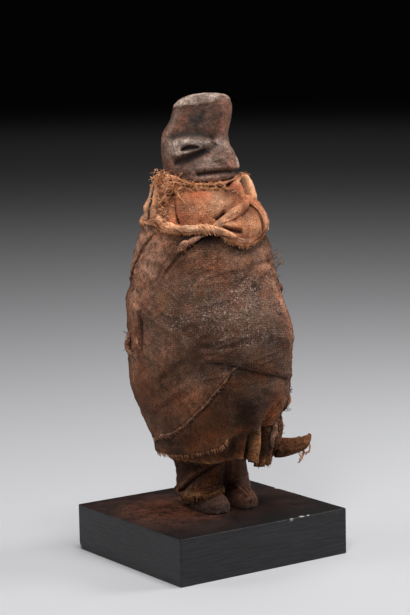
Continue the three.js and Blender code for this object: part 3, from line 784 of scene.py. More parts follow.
def block():
    """The outline is carried along a path of insets and heights: in from under the block, round
    its lower edge, up, round its upper edge and in across its top."""
    outline = rounded_outline(*BLOCK_HALF, 0.6, 1.1)
    arc = np.radians(np.linspace(0, 90, 5))
    path = [(40, 0), (20, 0), (6, 0), *zip(EDGE - EDGE * np.sin(arc), EDGE - EDGE * np.cos(arc))]
    path += [(0, z) for z in np.arange(2, BLOCK_TOP - 1, 1.3)]
    path += [*zip(EDGE - EDGE * np.cos(arc), BLOCK_TOP - EDGE + EDGE * np.sin(arc))]
    path += [(inset, BLOCK_TOP) for inset in (1.6, 2.6, 4, 6, *range(9, 46, 3), 50, 55)]
    path = np.array(path)
    scale = (BLOCK_HALF - path[:, :1]) / BLOCK_HALF
    grid = np.empty((len(path), len(outline), 3))
    grid[..., :2] = outline * scale[:, None]
    grid[..., 2] = path[:, 1:]
    chip = np.zeros(grid.shape[:2])
    for x, y, z, wide, tall, deep in CHIPS:
        away = np.hypot(grid[..., 0] - x, grid[..., 1] - y)
        dent = bell(away, wide) * bell(grid[..., 2] - z, tall * 2)
        inward = np.array([0, 0, BLOCK_TOP / 2]) - grid
        inward[..., 2] *= 1.5
        grid += inward / np.linalg.norm(inward, axis=-1, keepdims=True) * (dent * deep)[..., None]
        chip = np.maximum(chip, ramp(0.42, 0.7, dent + 0.12 * field(grid, 0.9, 3)))
    x, y, z = np.moveaxis(grid, -1, 0)
    drifts = 1.1 * bell(x + 10, 54) * bell(y - 9, 48) + 0.4 * bell(x + 34, 68) * bell(y - 12, 88)
    drifts += 0.2 * bell(x - 38, 60) * bell(y - 14, 90)
    dust = drifts * ramp(BLOCK_TOP - EDGE, BLOCK_TOP, z) + 0.35 * bell(x + 28, 34) * bell(y - 12, 34)
    # The top mark darkens the top face: painted shade.
    marks = {"chip": chip, "dust": np.clip(dust, 0, 1), "top": 0.75 * ramp(29.6, BLOCK_TOP, z)}
    made = skin("block", grid, paint, "black_paint", marks, place=unturned)
    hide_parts("plinth")
    return tell(made)


block()

# %% [markdown]
# The head was cut from the block with a knife: a tall loaf of a crest that hangs over a swollen
# face, slanting half-closed eyes under a heavy brow, a wide blunt nose and a straight mouth. It
# is rings of squarish ovals up the neck and the head. Ridges and grooves are lines drawn on it,
# each with its own cross-section, and both sides mirror each other as the carver meant them to.

# %% The head's rings and lines
HEAD = [  # height, setback, half width, half depth, squareness, narrowing towards the face
    [186, 12, 11, 10.5, 2, 0], [203, 12, 10.5, 11, 2, 0], [208.5, 12.3, 11.6, 14, 2.1, 0],
    [212, 14, 14.6, 20, 2.2, 0.02], [215, 14.6, 16.4, 22, 2.2, 0.03], [218, 15, 17, 22.7, 2.2, 0.04],
    [228, 15.6, 17.4, 23.2, 2.2, 0.07], [238, 15.4, 17.2, 23.2, 2.25, 0.11],
    [241.5, 15, 16.2, 23, 2.3, 0.15], [245, 13.9, 14.5, 22, 2.5, 0.19],
    [250, 11.2, 13.2, 20.2, 2.8, 0.24], [256, 9, 12.5, 19.4, 3.1, 0.28],
    [260.6, 8, 12, 18.7, 3.2, 0.29], [263.4, 7, 11, 17.6, 3, 0.27], [265.8, 5.8, 9.2, 15.4, 2.7, 0.22],
    [267.5, 4.6, 6.2, 11.6, 2.3, 0.15], [268.4, 4, 2.4, 5.2, 2, 0.1],
]
NOSE = [
    [214.5, 0], [217, 1.4], [219.5, 3.7], [222.5, 4.1], [227, 5.6], [232, 5.2], [236, 1.5], [239, 0],
]
HEAD_LINES = [  # out in mm, width in mm, sharpness, pointed ends, line of (direction, height)
    (1.2, 8, 2, 0, [(106, 234), (88, 236.6), (66, 237.8), (44, 237.2), (24, 236)]),
    (-2, 4.4, 2, 0,
     [(124, 240.4), (108, 241.4), (90, 242.4), (68, 242.7), (46, 242.5), (28, 241.2), (14, 239)]),
    (-2.4, 2.9, 3, 1, [(88, 232.4), (77, 233.8), (66, 234.4), (55, 234.5), (45, 234)]),
    (0.7, 1.3, 2, 0, [(106, 229.4), (96, 230.2), (87, 230.8)]),
    (1.3, 1.9, 2, 0, [(98, 228.2), (80, 229.7), (64, 231.4), (50, 233), (38, 233.8)]),
    (-2.3, 5.2, 2.4, 0.5, [(110, 224.6), (90, 225.8), (72, 227), (56, 229), (42, 231), (28, 233)]),
    (-2.1, 2.4, 2, 0, [(56, 217), (38, 218), (22, 218.9), (8, 218.9), (0, 218.7)]),
    (0.9, 3.4, 2, 0, [(50, 220.8), (30, 221.6), (0, 221.8)]),
    (1.1, 3.6, 2, 0, [(48, 214.4), (30, 215.2), (0, 215.4)]),
    (1.3, 1.7, 2, 0, [(17, 228.6), (11, 223.6), (6, 219.6)]),
    (-0.9, 3, 2, 0, [(22, 226), (16, 222), (13, 219.6)]),
    (-1.3, 5, 2, 0.3, [(18, 237), (26, 234), (34, 230.5)]),
    (0.5, 2, 2, 0, [(150, 259.5), (122, 260.5), (86, 261.2), (54, 262.4), (30, 263.6), (14, 264.6)]),
    (0.6, 2.4, 2, 0, [(19, 262.5), (19, 255), (20, 249), (24, 244.6)]),
]
CREST_EDGE = [
    (176, 259), (150, 259.5), (122, 260.5), (86, 261.2), (54, 262.4), (30, 263.6), (14, 264.8),
    (0, 265.2),
]
FACE_RADIUS = 19.0  # for widths on the face, which is about this far from the head's axis


def line_depth(direction, height, width, sharp, pointed, line):
    """How much of a drawn line's full depth a place has: a bell across it, which narrows towards
    the line's ends where they are pointed, and fades out at the ends."""
    away, along = beside(line, np.abs(direction), height, FACE_RADIUS)
    narrow = 1 - pointed + pointed * np.sqrt(np.clip(np.sin(math.pi * along), 0.04, 1))
    across = np.exp(-np.abs(2 * away / (width * 1.3 * narrow)) ** sharp)
    return across * faded(along, 0.08, 0.08 if line[-1][0] > 3 else 0)


def head_radius(direction, height):
    """Squarish oval, narrower towards the face, plus each line's bell-shaped cross-section on
    both halves, plus the muzzle, the chin and the nose, which are bells across the front."""
    back, a, b, square, taper = curves(HEAD, height)
    narrow = 1 - taper * np.cos(np.radians(direction))
    size = (a + b) / 2
    across = np.radians(direction) * size
    radius = oval(direction, a * narrow, b, square)
    for out, *shape in HEAD_LINES:
        radius = radius + out * line_depth(direction, height, *shape)
    radius = radius + 3.2 * bell(height - 220, 17) * bell(across, 44)
    radius = radius + 0.8 * bell(height - 213.5, 6) * bell(across, 40)
    down = np.clip((239.5 - height) / 25, 0, 1)
    wide = 6.5 + 7.5 * down ** 1.3
    return radius + smooth(NOSE, height)[..., 0] * bell(across, wide * 1.35)


SHEEN_AND_HIGHLIGHT_SPOTS = [  # where a grey satin is painted, the sheen of handling and a painted highlight: direction, height, width and height in mm, strength
    (-74, 237.4, 34, 7, 1.2), (-42, 237, 18, 6, 1), (12, 224, 4, 9, 1), (-66, 231.6, 22, 2.4, 1),
    (-64, 236, 36, 10, 1.2), (-32, 226, 16, 12, 0.4), (-50, 220.5, 20, 5, 0.5),
    (-44, 214.4, 36, 5, 0.85), (-94, 234, 18, 14, 1.1), (-100, 228, 8, 18, 0.4),
    (-128, 250, 5, 18, 0.55), (72, 237, 30, 6, 0.5), (30, 226, 16, 12, 0.5),
]
BARE = [  # where rubbing has laid the reddish wood bare
    (-3, 252, 15, 26, 0.8), (-112, 250, 13, 16, 0.9), (-55, 214.5, 38, 7, 1), (-20, 214, 20, 6, 0.75),
    (-6, 224, 7, 12, 0.8), (-35, 232, 10, 8, 0.45), (-110, 226, 8, 20, 0.5), (60, 215, 40, 8, 0.7),
    (110, 250, 16, 16, 0.5), (-160, 235, 30, 24, 0.5),
]


def knife_facets(points, size, seed):
    """Flat cuts of the knife: the height of the nearest of many slanted planes, which is random
    in each cell of a grid stretched upright."""
    spread = points * np.array([1, 1, 0.6]) / size
    wobble = 0.35 * np.stack([field(points, size * 1.3, seed + k) for k in range(3)], axis=-1)
    cell = np.floor(spread + wobble)
    part = spread + wobble - cell - 0.5
    slant = np.stack([field(cell * 7.31 + 0.5, 1.0, seed + 5 + k) for k in range(3)], axis=-1)
    return np.einsum("...k,...k->...", part, slant)


def head_shell():
    """Rings from inside the neck cloth to the crown, closer together where the face is."""
    direction = np.linspace(-180, 180, 241)
    height = smooth([[0, 188], [0.1, 208], [0.2, 214], [0.62, 243], [0.84, 261], [0.94, 266.4],
                     [1, 268.38]],
                    np.linspace(0, 1, 200))[:, 0]
    direction, height = np.meshgrid(direction, height)
    radius = head_radius(direction, height)
    back = smooth(HEAD, height)[..., 0]
    grid = around(direction, radius, height, -1.0, back)
    carved = ramp(208, 214, height)
    smoothness = bell(direction, 120) * ramp(244, 240, height)
    cuts = 0.38 * knife_facets(grid, 6.5, 21) + 0.13 * uneven(grid, 3.2, 3, 5)
    grid = around(direction, radius + cuts * carved * (1 - 0.6 * smoothness), height, -1.0, back)
    # The crest's top above its edge gets the grey satin, cut off sharply at the edge: a painted highlight
    # where the light from above falls, with the sheen of handling.
    above = uneven(grid, 4, 3, 33) * 0.9 - beside(CREST_EDGE, np.abs(direction), height, 14.0)[0]
    sheen_and_highlight = 0.35 + 0.35 * ramp(0, 5, above) + 0.5 * uneven(grid, 5, 3, 37)
    sheen_and_highlight *= ramp(-0.8, 0.8, above) * ramp(254, 258, height)
    rubbed = np.zeros_like(height)
    for mark, places in ((sheen_and_highlight, SHEEN_AND_HIGHLIGHT_SPOTS), (rubbed, BARE)):
        for d, h, wide, tall, strong in places:
            across = np.radians(direction - d) * FACE_RADIUS
            np.maximum(mark, strong * bell(across, wide) * bell(height - h, tall), out=mark)
    # Painted shade: a dark patch on the crest's side, and below, the deep cuts.
    groove = np.clip(0.75 + 0.9 * uneven(grid, 4, 3, 39), 0, 1) * bell(height - 253, 15)
    groove *= bell(np.radians(direction + 58) * 16, 22)
    for out, *shape in HEAD_LINES:
        if out < -1:  # the deep cuts are dark
            groove = np.maximum(groove, min(1, -out / 2.4) * line_depth(direction, height, *shape) ** 1.5)
    return shell(grid,
                 marks={"bare": rubbed * (1 - groove), "shine": sheen_and_highlight * (1 - groove), "shade": groove})


# %% [markdown]
# Below the neck only the lower legs and the feet show, but the whole body is there: it is what
# the cloth is wound on. A foot is a row of D-shaped sections from heel to toes. The toes of the
# uncovered foot are cut apart by short grooves.

# %% Body, legs and feet
def body_shell():
    """A column of ellipses from the hips to the neck."""
    rows = [[66, 8, 21, 17], [100, 7.5, 22, 18], [150, 11, 20, 16], [184, 12, 13, 12],
            [194, 12, 10.8, 10.6]]
    height = np.linspace(66, 194, 24)[:, None]
    direction = np.linspace(-180, 180, 49)[None]
    back, a, b = curves(rows, height)
    return shell(around(direction, oval(direction, a, b), height, 0.0, back))


def leg_shell(ankle, seed):
    """A column from the ankle to the hip, with slight knife cuts. Its rows are the height, the
    thickness and the share of the way from the ankle's place to the hip's."""
    rows = [[3, 0.98, 0], [8, 0.96, 0], [20, 0.92, 0.2], [36, 1.02, 0.5], [73, 1.1, 1]]
    hip = (0.9 * ankle[0], 8)
    height = np.linspace(3, 73, 90)[:, None]
    direction = np.linspace(-180, 180, 81)[None]
    wide, share = curves(rows, height)
    x, y = [a + (b - a) * share for a, b in zip(ankle, hip)]
    grid = around(direction, 9.8 * wide, height, x, y)
    cuts = 0.45 * knife_facets(grid, 5.5, seed) + 0.12 * uneven(grid, 3, 3, seed + 3)
    grid = around(direction, 9.8 * wide + cuts, height, x, y)
    bare = np.clip(0.45 + 0.4 * uneven(grid, 10, 2, seed + 7), 0, 1)
    return shell(grid, marks={"bare": bare * 0.8, "shade": ramp(12, 6, height) * 0.5})


TOES_TURN = math.radians(-18)


def foot_shell(at, toes, seed, narrow, length):
    """Rows of place, half width and top run from heel to toe. A section is the upper part of an
    oval above a flat sole. Toe grooves run back from the tip and fade away."""
    profile = [[-0.5, 0.35, 0.5], [-0.48, 0.62, 0.8], [-0.42, 0.84, 1.0], [-0.2, 0.95, 1.16],
               [0.05, 1, 1.12],
               [0.3, 0.97, 0.93], [0.42, 0.86, 0.76], [0.48, 0.68, 0.6], [0.502, 0.42, 0.45]]
    along = np.linspace(-0.5, 0.502, 96)
    wide, high = (smooth(profile, along).T * [[9.75 * narrow], [13.5]])[..., None]
    turn = np.linspace(0, 2 * math.pi, 73)[None]
    lift = (np.maximum(np.sin(turn), -0.35) + 0.35) / 1.35
    across = wide * np.sign(np.cos(turn)) * np.abs(np.cos(turn)) ** 0.85
    share = np.where(wide > 0, across / np.maximum(wide, 1e-6), 0)
    front = ramp(0.16, 0.34, along)[:, None] * toes
    place = (share * 0.96 + 1) * 2.5
    nearest = np.round(place)
    groove = bell(place - nearest, 0.26) * (nearest > 0.5) * (nearest < 4.5)
    rounding = front * lift * (0.3 - 1.1 * groove)
    x, y, z = np.broadcast_arrays(across, -along[:, None] * length, lift * high + rounding)
    tip = front * ramp(0.4, 0.5, along)[:, None] * (1 - np.abs(share)) * 1.2
    grid = np.stack([x, y - tip, z], axis=-1)
    c, s = math.cos(TOES_TURN), math.sin(TOES_TURN)
    grid[..., :2] = grid[..., :2] @ np.array([[c, s], [-s, c]]) + at
    cuts = 0.25 * knife_facets(grid, 5, seed) + 0.1 * uneven(grid, 3, 3, seed)
    grid[..., 2] = np.maximum(grid[..., 2] + np.where(lift > 0.02, cuts, 0), 0)
    bare = np.clip(toes * 0.45 * ramp(-0.1, 0.3, along)[:, None] * lift + 0.05, 0, 1)
    shade = np.maximum(front * groove * lift * 0.8, 0.52 - 0.52 * toes * lift)
    return shell(grid, marks={"bare": bare, "shade": shade})


def figure():
    parts = [head_shell(), body_shell(), leg_shell((-11.5, 13.0), 41), leg_shell((14.0, -2.0), 47),
             foot_shell((-12.9, 3.8), 0.4, 51, 0.95, 38), foot_shell((8.9, -3.7), 1.0, 57, 0.84, 37.5)]
    made = joined("carved_wood", parts, wood, "dark_wood")
    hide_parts("carved_figure")
    return tell(made)


figure()

# %% [markdown]
# The bundle is many layers of cloth wound round the body until it is as hard as a padded ball.
# Its panels lie over each other. A lap is a line with the upper layer on its left: the surface
# steps up there, swells a little along the edge, and sinks into a shadow on the other side.

# %% The bundle's shape
BUNDLE = [  # height, setback, half width, half depth
    [26, 3, 38, 37], [38, 3, 39.5, 38.5], [43, 3, 41, 40], [51, 4.5, 43, 42], [58, 6, 45, 44],
    [66, 6.5, 48, 47], [74, 7, 50, 50], [84, 7.5, 52, 52], [98, 7.5, 52.5, 53], [112, 7.2, 53, 53.5],
    [124, 8.5, 52, 52.5], [137, 10.5, 50, 49.5], [150, 11.5, 47.5, 46], [162, 12, 46, 44],
    [175, 12, 43.5, 41], [183, 12, 38, 34], [188, 12, 31, 27], [192, 12, 22, 19],
]
SHOULDER = [[172, 0], [178, 0.6], [182, 2.6], [188, 9], [194, 15], [200, 12.5], [206, 10.5]]
RIM = [
    [-180, 42], [-135, 39], [-110, 40], [-80, 42], [-60, 45], [-42, 51], [-20, 55], [10, 56], [35, 53],
    [60, 47], [110, 43], [180, 42],
]
FOLDS = [  # out, width, line: soft folds and creases
    (1, 8, [(-101, 181), (-115, 167.5), (-134, 152.5)]),
    (1.3, 9, [(-79, 125), (-86, 120), (-93, 115), (-100, 110), (-107, 105)]),
    (1.6, 12, [(-121, 54), (-94, 59), (-73, 69), (-55, 84), (-38, 102)]),
    (1.2, 10, [(-52, 107), (-25, 101), (-2, 95), (22, 91)]),
    (-1.6, 7, [(-52, 101), (-25, 94.5), (-2, 88.5), (22, 83)]),
    (-2.2, 7, [(-43, 48), (-33, 52), (-28, 62), (-29, 76)]),
    (1.6, 7, [(-18, 54), (-18, 64), (-20, 76)]), (-1.4, 6, [(-6, 52), (-3, 62), (2, 74)]),
    (1.8, 6, [(28, 76), (14, 68), (4, 60), (-2, 52)]),
    (-1.5, 4, [(20, 78), (6, 70), (-4, 61), (-9, 52)]),
    (1, 5, [(19, 158), (2, 155), (-8, 151), (-15, 148)]),
    (-0.9, 4, [(19, 155.5), (2, 152.5), (-8, 148.5)]),
    (1, 5, [(21, 166.5), (-4, 164), (-19, 161), (-30, 158)]),
    (-0.8, 4, [(21, 164), (-4, 161.5), (-19, 158.5)]), (0.9, 5, [(15, 112), (0.5, 115), (-9, 119.5)]),
    (0.9, 5, [(25, 130), (12, 134), (2, 139)]),
    (1.2, 6, [(-65, 66.7), (-72, 61.7), (-81, 54.5), (-89, 46.7)]),
    (0.9, 5, [(-65, 66.7), (-59, 63), (-51, 59), (-41, 56)]), (-0.9, 4, [(-75, 53), (-70, 47)]),
    (1, 6, [(-112, 92), (-96, 88), (-84, 84)]), (0.8, 5, [(-115, 76), (-98, 74), (-84, 76)]),
    (-1.7, 3.2, [(24, 161), (5.9, 159.8), (-8.6, 156.4), (-20, 151.2), (-30, 144)]),
    (1.2, 3.4, [(20, 157), (5, 156), (-7, 152), (-14, 147)]),
    (-0.9, 2.4, [(-27.7, 172), (-37.2, 165), (-47.2, 160.5)]),
    (-0.8, 2.4, [(-4.4, 169.5), (-21.3, 167.6), (-33.2, 163)]),
    (-1, 2.8, [(-76, 169), (-84.3, 162.9), (-90.8, 153), (-94, 148)]),
    (-0.8, 2.6, [(-72, 113), (-77.9, 113.8), (-87.5, 110.2), (-101.2, 102.9)]),
    (-0.9, 2.6, [(-64, 113), (-55, 112), (-46.7, 111), (-33.5, 112.6), (-24, 115)]),
    (0.8, 3, [(-19, 119), (-5.7, 116.4), (14.9, 112)]),
    (-1, 2.8, [(-112, 80), (-98, 86.5), (-89.9, 89.4), (-75.1, 100.2), (-64.1, 105.4)]),
    (1, 4, [(-106, 86), (-89, 94), (-75, 104)]),
    (-0.8, 2.4, [(-120.2, 89.4), (-105, 94.6), (-91.5, 102.5)]),
    (-0.9, 2.8, [(-108, 62), (-89.2, 72.6), (-70.5, 82.4), (-57.4, 88)]),
    (1, 4, [(-104, 67), (-87, 78), (-70, 87)]), (-0.8, 2.4, [(-35, 78), (-34, 66), (-36.3, 56)]),
    (0.8, 3, [(-42, 82), (-41, 70), (-42, 60)]),
    (-1.3, 3.2, [(-18, 84), (-12.9, 80.5), (-0.9, 75), (12, 69)]),
    (0.8, 3, [(-118, 132), (-114, 145), (-110, 158)]), (-1.6, 2.6, [(27, 152), (16, 146), (9, 140)]),
    (-1.4, 2.4, [(31, 142), (20, 136), (13, 128)]),
    (-0.8, 2.4, [(-125, 140), (-120, 152), (-114, 162)]), (-0.8, 2.6, [(-8, 135), (4, 130), (18, 122)]),
    (1.8, 10, [(60, 170), (85, 140), (110, 118), (140, 100)]),
    (-1.5, 8, [(80, 62), (120, 70), (160, 66)]), (1.6, 10, [(-150, 170), (-175, 140), (160, 110)]),
    (1.3, 8, [(70, 182), (90, 160), (100, 130)]),
    (-1.2, 6, [(120, 180), (140, 150), (150, 120), (175, 95)]),
]
LAPS = [  # step, groove, reach of the step, line with the upper layer on its left
    (1.5, 1.1, 22,
     [(-132, 45), (-121, 48), (-106, 51), (-94, 53), (-84, 57), (-73, 63), (-63.5, 71), (-57, 76),
      (-52, 82), (-48, 86), (-42.5, 92), (-38, 96), (-33, 99)]),
    (1.1, 0.9, 14,
     [(-60, 104.5), (-52, 103.5), (-44, 102.5), (-36, 100), (-25, 97), (-15, 94.5), (-2, 91),
      (14, 87.5), (22, 85.5), (34, 84)]),
    (1.1, 0.9, 9, [(-106, 108), (-107, 113), (-108, 117), (-108, 123.5), (-107, 130), (-105, 135)]),
    (1, 0.8, 12, [(-142, 146), (-134, 152.5), (-124, 160), (-115, 167.5), (-107, 175), (-101, 181)]),
    (0.9, 1.2, 9,
     [(-87, 154), (-81, 160.5), (-75, 167), (-69, 172.3), (-63, 176), (-58, 178.4), (-51, 180.6),
      (-43, 181.2), (-34, 181.4)]),
    (1.1, 0.8, 14, [(40, 150), (62, 128), (85, 112), (112, 100), (140, 92)]),
    (1.2, 0.9, 16, [(50, 52), (80, 66), (112, 88), (150, 112), (178, 130)]),
    (1, 0.8, 12, [(172, 186), (160, 160), (150, 140), (128, 118)]),
]


LAP_LINES = [lap[3] for lap in LAPS]
BELLY = 50  # the bundle's middle radius


def lap_profile(away, step, groove, reach):
    """A step of 0.7 mm's width that sinks back over its reach, a swelling just behind it, and a
    groove just before it."""
    up = step * ramp(-0.35, 0.35, away) * np.exp(-np.maximum(away, 0) / reach)
    return up + 0.4 * step * bell(away - 1.3, 3) - groove * bell(away + 0.9, 2.4)


def bundle_radius(direction, height, laps=True):
    """An oval of the height's row, wider where the back is drawn up to the neck, plus a bell for
    each soft fold and a profile for each lap."""
    back, a, b = curves(BUNDLE, height)
    drawn = ramp(80, 118, np.abs(turn_from(direction, 0)))
    plain = oval(direction, a, b) + drawn * smooth(SHOULDER, height)[..., 0]
    radius = plain
    for out, width, line in FOLDS:
        away, along = beside(line, direction, height, plain)
        radius = radius + out * bell(away, width * 1.5) * faded(along)
    for step, groove, reach, line in LAPS if laps else []:
        away, along = beside(line, direction, height, plain)
        radius = radius + lap_profile(away, step, groove, reach) * faded(along, 0.1, 0.1)
    return radius


def on_bundle(direction, height, lift=0.0, laps=False):
    """Points on the bundle, lifted off it."""
    direction, height, lift = np.broadcast_arrays(direction, height, lift)
    radius = bundle_radius(direction, height, laps) + lift
    return around(direction, radius, height, 0.0, smooth(BUNDLE, height)[..., 0])


# %% [markdown]
# Stains tell the cloth's story: reddish camwood on the sides, black grime in the lower front, and
# a grey crust of dried offerings over the belly. Light and shade are painted in with them: the
# grime is partly painted shade, in the lower front, in the slit at the left side, in deep creases and
# under the flap's hem and the two lower laps, and the paler cloth is partly painted light, on the
# upper body and the shoulders. Each is a soft spot on the bundle that noise in the material breaks
# up. The threads run along each panel, so the texture map turns from panel to panel.

# %% The bundle's stains, painted light and shade, and thread directions
CLOTH_STAINS_LIGHT_AND_SHADE = {
    "rust": [
        (-38, 155, 14, 8, 1), (-45, 160, 10, 8, 0.9), (-28, 92, 40, 8, 0.6), (-118, 125, 34, 46, 1),
        (-35, 160, 30, 22, 0.7), (4, 70, 22, 24, 1), (-72, 74, 26, 22, 0.7), (-102, 82, 24, 30, 0.7),
        (12, 150, 26, 34, 0.8), (26, 130, 24, 50, 0.9), (-95, 165, 26, 30, 0.5), (90, 130, 60, 70, 0.6),
        (170, 120, 70, 60, 0.5), (-150, 90, 50, 50, 0.6), (-60, 55, 40, 14, 0.5),
    ],
    # Grime, and painted shade: the darker lower front, the slit at the left side, deep creases and the
    # line under the flap's hem.
    "grime": [
        (-68, 142, 24, 12, 0.7), (-97, 123, 16, 26, 0.5), (-28, 153, 10, 9, 0.9),
        (-43, 137, 34, 4, 0.5), (-38, 152, 30, 22, 0.3), (-18, 78, 34, 34, 0.9), (-45, 70, 30, 24, 0.5),
        (-107, 123, 3.5, 24, 0.9), (-104, 72, 50, 34, 0.45), (-70, 96, 50, 16, 0.55),
        (-46, 178.5, 36, 5, 1.2), (-12, 172, 34, 5, 0.9), (-54, 112, 26, 20, 0.8),
        (-62, 100, 34, 18, 0.6), (-76, 132, 26, 40, 0.5), (-10, 122, 36, 30, 0.55),
        (-40, 108, 40, 26, 0.6), (130, 100, 60, 40, 0.5), (-35, 92, 30, 14, 0.6),
    ],
    # Paler cloth, and painted light on the upper body and the shoulders.
    "pale": [
        (20, 137, 9, 34, 1), (8, 148, 12, 10, 0.7), (-20, 136, 60, 30, 0.45), (-52, 152, 40, 20, 0.4),
        (-64, 168, 26, 10, 0.5), (-112, 164, 40, 40, 1.2), (-92, 172, 20, 20, 0.8),
        (-30, 166, 40, 18, 0.55), (6, 165, 26, 26, 0.75), (-116, 140, 24, 40, 0.8),
        (-78, 146, 26, 26, 0.5), (28, 120, 10, 80, 0.5), (-92, 112, 34, 50, 0.55),
        (-84, 72, 30, 34, 0.25), (-6, 84, 34, 10, 0.5), (16, 84, 20, 30, 0.4), (-110, 60, 30, 30, 0.3),
        (22, 118, 12, 60, 0.5), (-98, 160, 22, 26, 0.8), (-120, 172, 26, 24, 1.2),
        (-122, 100, 16, 50, 0.6), (-66, 90, 30, 30, 0.4), (60, 110, 60, 60, 0.3),
    ],
    "crust": [
        (-38, 131, 52, 30, 1), (-18, 143, 36, 30, 1), (-24, 118, 60, 30, 0.75), (-68, 126, 46, 34, 0.6),
        (4, 130, 30, 60, 0.6), (-98, 128, 20, 40, 0.4), (-60, 148, 40, 26, 0.6),
        (-40, 100, 50, 14, 0.5), (-50, 146, 30, 18, 0.6),
    ],
}


def stains_light_and_shade(direction, height):
    """The four marks of the cloth at places on the bundle, with a painted shadow, laid on as grime, under
    the two lower laps.
    """
    found = spotted(direction, height, CLOTH_STAINS_LIGHT_AND_SHADE, 48)
    found = {mark: np.clip(values, 0, 1) for mark, values in found.items()}
    for line, strong in zip(LAP_LINES, (0.55, 0.7)):
        away, along = beside(line, direction, height, BELLY)
        below = strong * bell(away + 1.7, 2.6) * faded(along, 0.05, 0.1)
        found["grime"] = np.maximum(found["grime"], below)
    return found


def thread_map(direction, height):
    """Directions times the radius, and heights, turned by the angle of the panel's threads."""
    lower, side, edge = [beside(LAP_LINES[k], direction, height, BELLY)[0] for k in (0, 2, 4)]
    turned = np.full(np.shape(direction), 8.0)
    turned = np.where((edge > 0) & (height > 140) & (direction < -40), 35, turned)
    turned = np.where((side > 0) & (direction < -90) & (height > 100), 35, turned)
    turned = np.where((direction < -45) & (height < 102), -28, turned)
    turned = np.where((lower < 0) & (height < 96) & (direction > -135) & (direction < 30), 12, turned)
    turned = np.where(np.abs(direction) > 135, -20, turned)
    a = np.radians(turned)
    u, v = np.radians(direction) * BELLY, height
    return np.stack([u * np.cos(a) - v * np.sin(a), u * np.sin(a) + v * np.cos(a)], axis=-1)


# %% The bundle
def creases(grid, direction, height):
    """Fine slack wrinkles, which run down to the left on the left side and level elsewhere, and
    the crust's grains."""
    u = np.radians(direction) * 48
    slant = np.radians(np.where(direction < -60, -32.0, 10.0) * ramp(-20, -80, direction) + 6)
    along = u * np.cos(slant) + height * np.sin(slant)
    across = height * np.cos(slant) - u * np.sin(slant)
    stretched = np.stack([along / 5, across, 0.2 * grid[..., 0]], axis=-1)
    sharp = 1 - np.abs(uneven(stretched, 5.5, 2, 61))
    return 0.75 * sharp ** 3 + 0.5 * uneven(grid, 17, 2, 67) + 0.2 * uneven(grid, 2.4, 2, 71)


def bundle():
    """Rows run from inside the lower rim, round it, and up to the drawn-in top."""
    direction = np.linspace(-180, 180, 401)[None]
    rim = smooth(RIM, direction[0])[None, :, 0]
    ragged = 0.8 * uneven(around(direction, 45.0, rim), 4, 2, 73)
    top = 192 + 13 * ramp(80, 118, np.abs(direction))
    height, share = ragged_rows(rim, top, ragged, 236, 8)
    direction, height = np.broadcast_arrays(direction, height)
    grid = on_bundle(direction, height, 0, True)
    marks = stains_light_and_shade(direction, height)
    rough = 0.4 * marks["crust"] * np.maximum(uneven(grid, 1.9, 2, 79), -0.2)
    lift = creases(grid, direction, height) + rough
    grid = on_bundle(direction, height, lift, True)
    uv = thread_map(direction, height)
    turned_in = np.array([[0.7, 5, 9], [0.94, 1.2, 3], [0.975, -0.3, 1]])  # narrowing, rise, thread
    narrow, rise, thread = turned_in.T[..., None]
    inside = np.repeat(grid[:1], len(turned_in), axis=0)
    inside[..., :2] = (inside[..., :2] - [0, 3]) * narrow[..., None] + [0, 3]
    inside[..., 2] += rise
    below = np.stack(np.broadcast_arrays(uv[:1, :, 0], uv[:1, :, 1] - thread), axis=-1)
    marks = {mark: np.concatenate([np.repeat(values[:1], len(turned_in), axis=0), values])
             for mark, values in marks.items()}
    grid, uv = np.concatenate([inside, grid]), np.concatenate([below, uv])
    made = skin("outer_bundle", grid, brown_cotton, "brown_cloth", marks, uv)
    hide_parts("outer_wrap")
    return tell(made)


bundle()

# %% [markdown]
# Where a panel ends, its edge is turned under or frayed. A hem is a flat closed tube that runs
# along the lap's line: its section leaves the upper layer, rises, turns over the edge and comes
# back under. A fringe is short threads that leave the edge and curl over the layer below.

# %% Hems and fringes on a surface
HEM_SECTION = np.array([  # share of the width, and of the rise
    [1, -0.6], [0.8, 0.3], [0.55, 0.72], [0.3, 1], [0.12, 1.15], [0, 1.1], [-0.08, 0.8], [-0.1, 0.45],
    [-0.05, 0.1], [0.12, -0.2], [0.5, -0.9], [1, -0.6],
])


def line_on(line, step=0.7):
    """Even points on a line of (direction, height), the unit vectors to its left and along it,
    all with directions in mm of the bundle's middle radius, and those mm in a degree."""
    mm = DEGREE * BELLY
    flat = np.array(line, float) * [mm, 1]
    path = along_path(flat, max(int(gone_along(flat)[-1] / step), 8))
    run = unit(np.gradient(path, axis=0))
    return path, np.column_stack([-run[:, 1], run[:, 0]]), run, mm


def hem(line, width, rise, seed, wobble=0.4, ends=0.06, pale=0.0):
    """A shell along a line on the bundle: across it the section runs from the upper layer over
    the edge and back, as wide and high as given, both fading at the ends."""
    path, left, run, mm = line_on(line)
    out, high = HEM_SECTION.T
    share = np.linspace(0, 1, len(path))
    fade = np.sqrt(faded(share, ends, ends))[:, None] * 0.95 + 0.05
    flat = np.column_stack([path, share * 0])
    a = out * width * fade + wobble * uneven(flat, 7, 2, seed)[:, None]
    b = high * rise * fade * (1 + 0.3 * uneven(flat, 5, 2, seed + 1)[:, None])
    b = b + 0.22 * uneven(np.stack([np.broadcast_to(path[:, :1], a.shape), a, b], axis=-1), 2, 2, seed + 2)
    direction = (path[:, :1] + a * left[:, :1]) / mm
    height = path[:, 1:] + a * left[:, 1:]
    marks = stains_light_and_shade(direction, height)
    # The hem is paler where its section stands out and not where it turns under: a paler edge with a
    # painted highlight on its crest. A pale hem then has no grime or painted shadow.
    marks["pale"] = np.maximum(marks["pale"], pale * np.clip(0.4 + high, 0, 1))
    marks["grime"] = marks["grime"] * (pale == 0)
    return shell(on_bundle(direction, height, b), marks=marks)


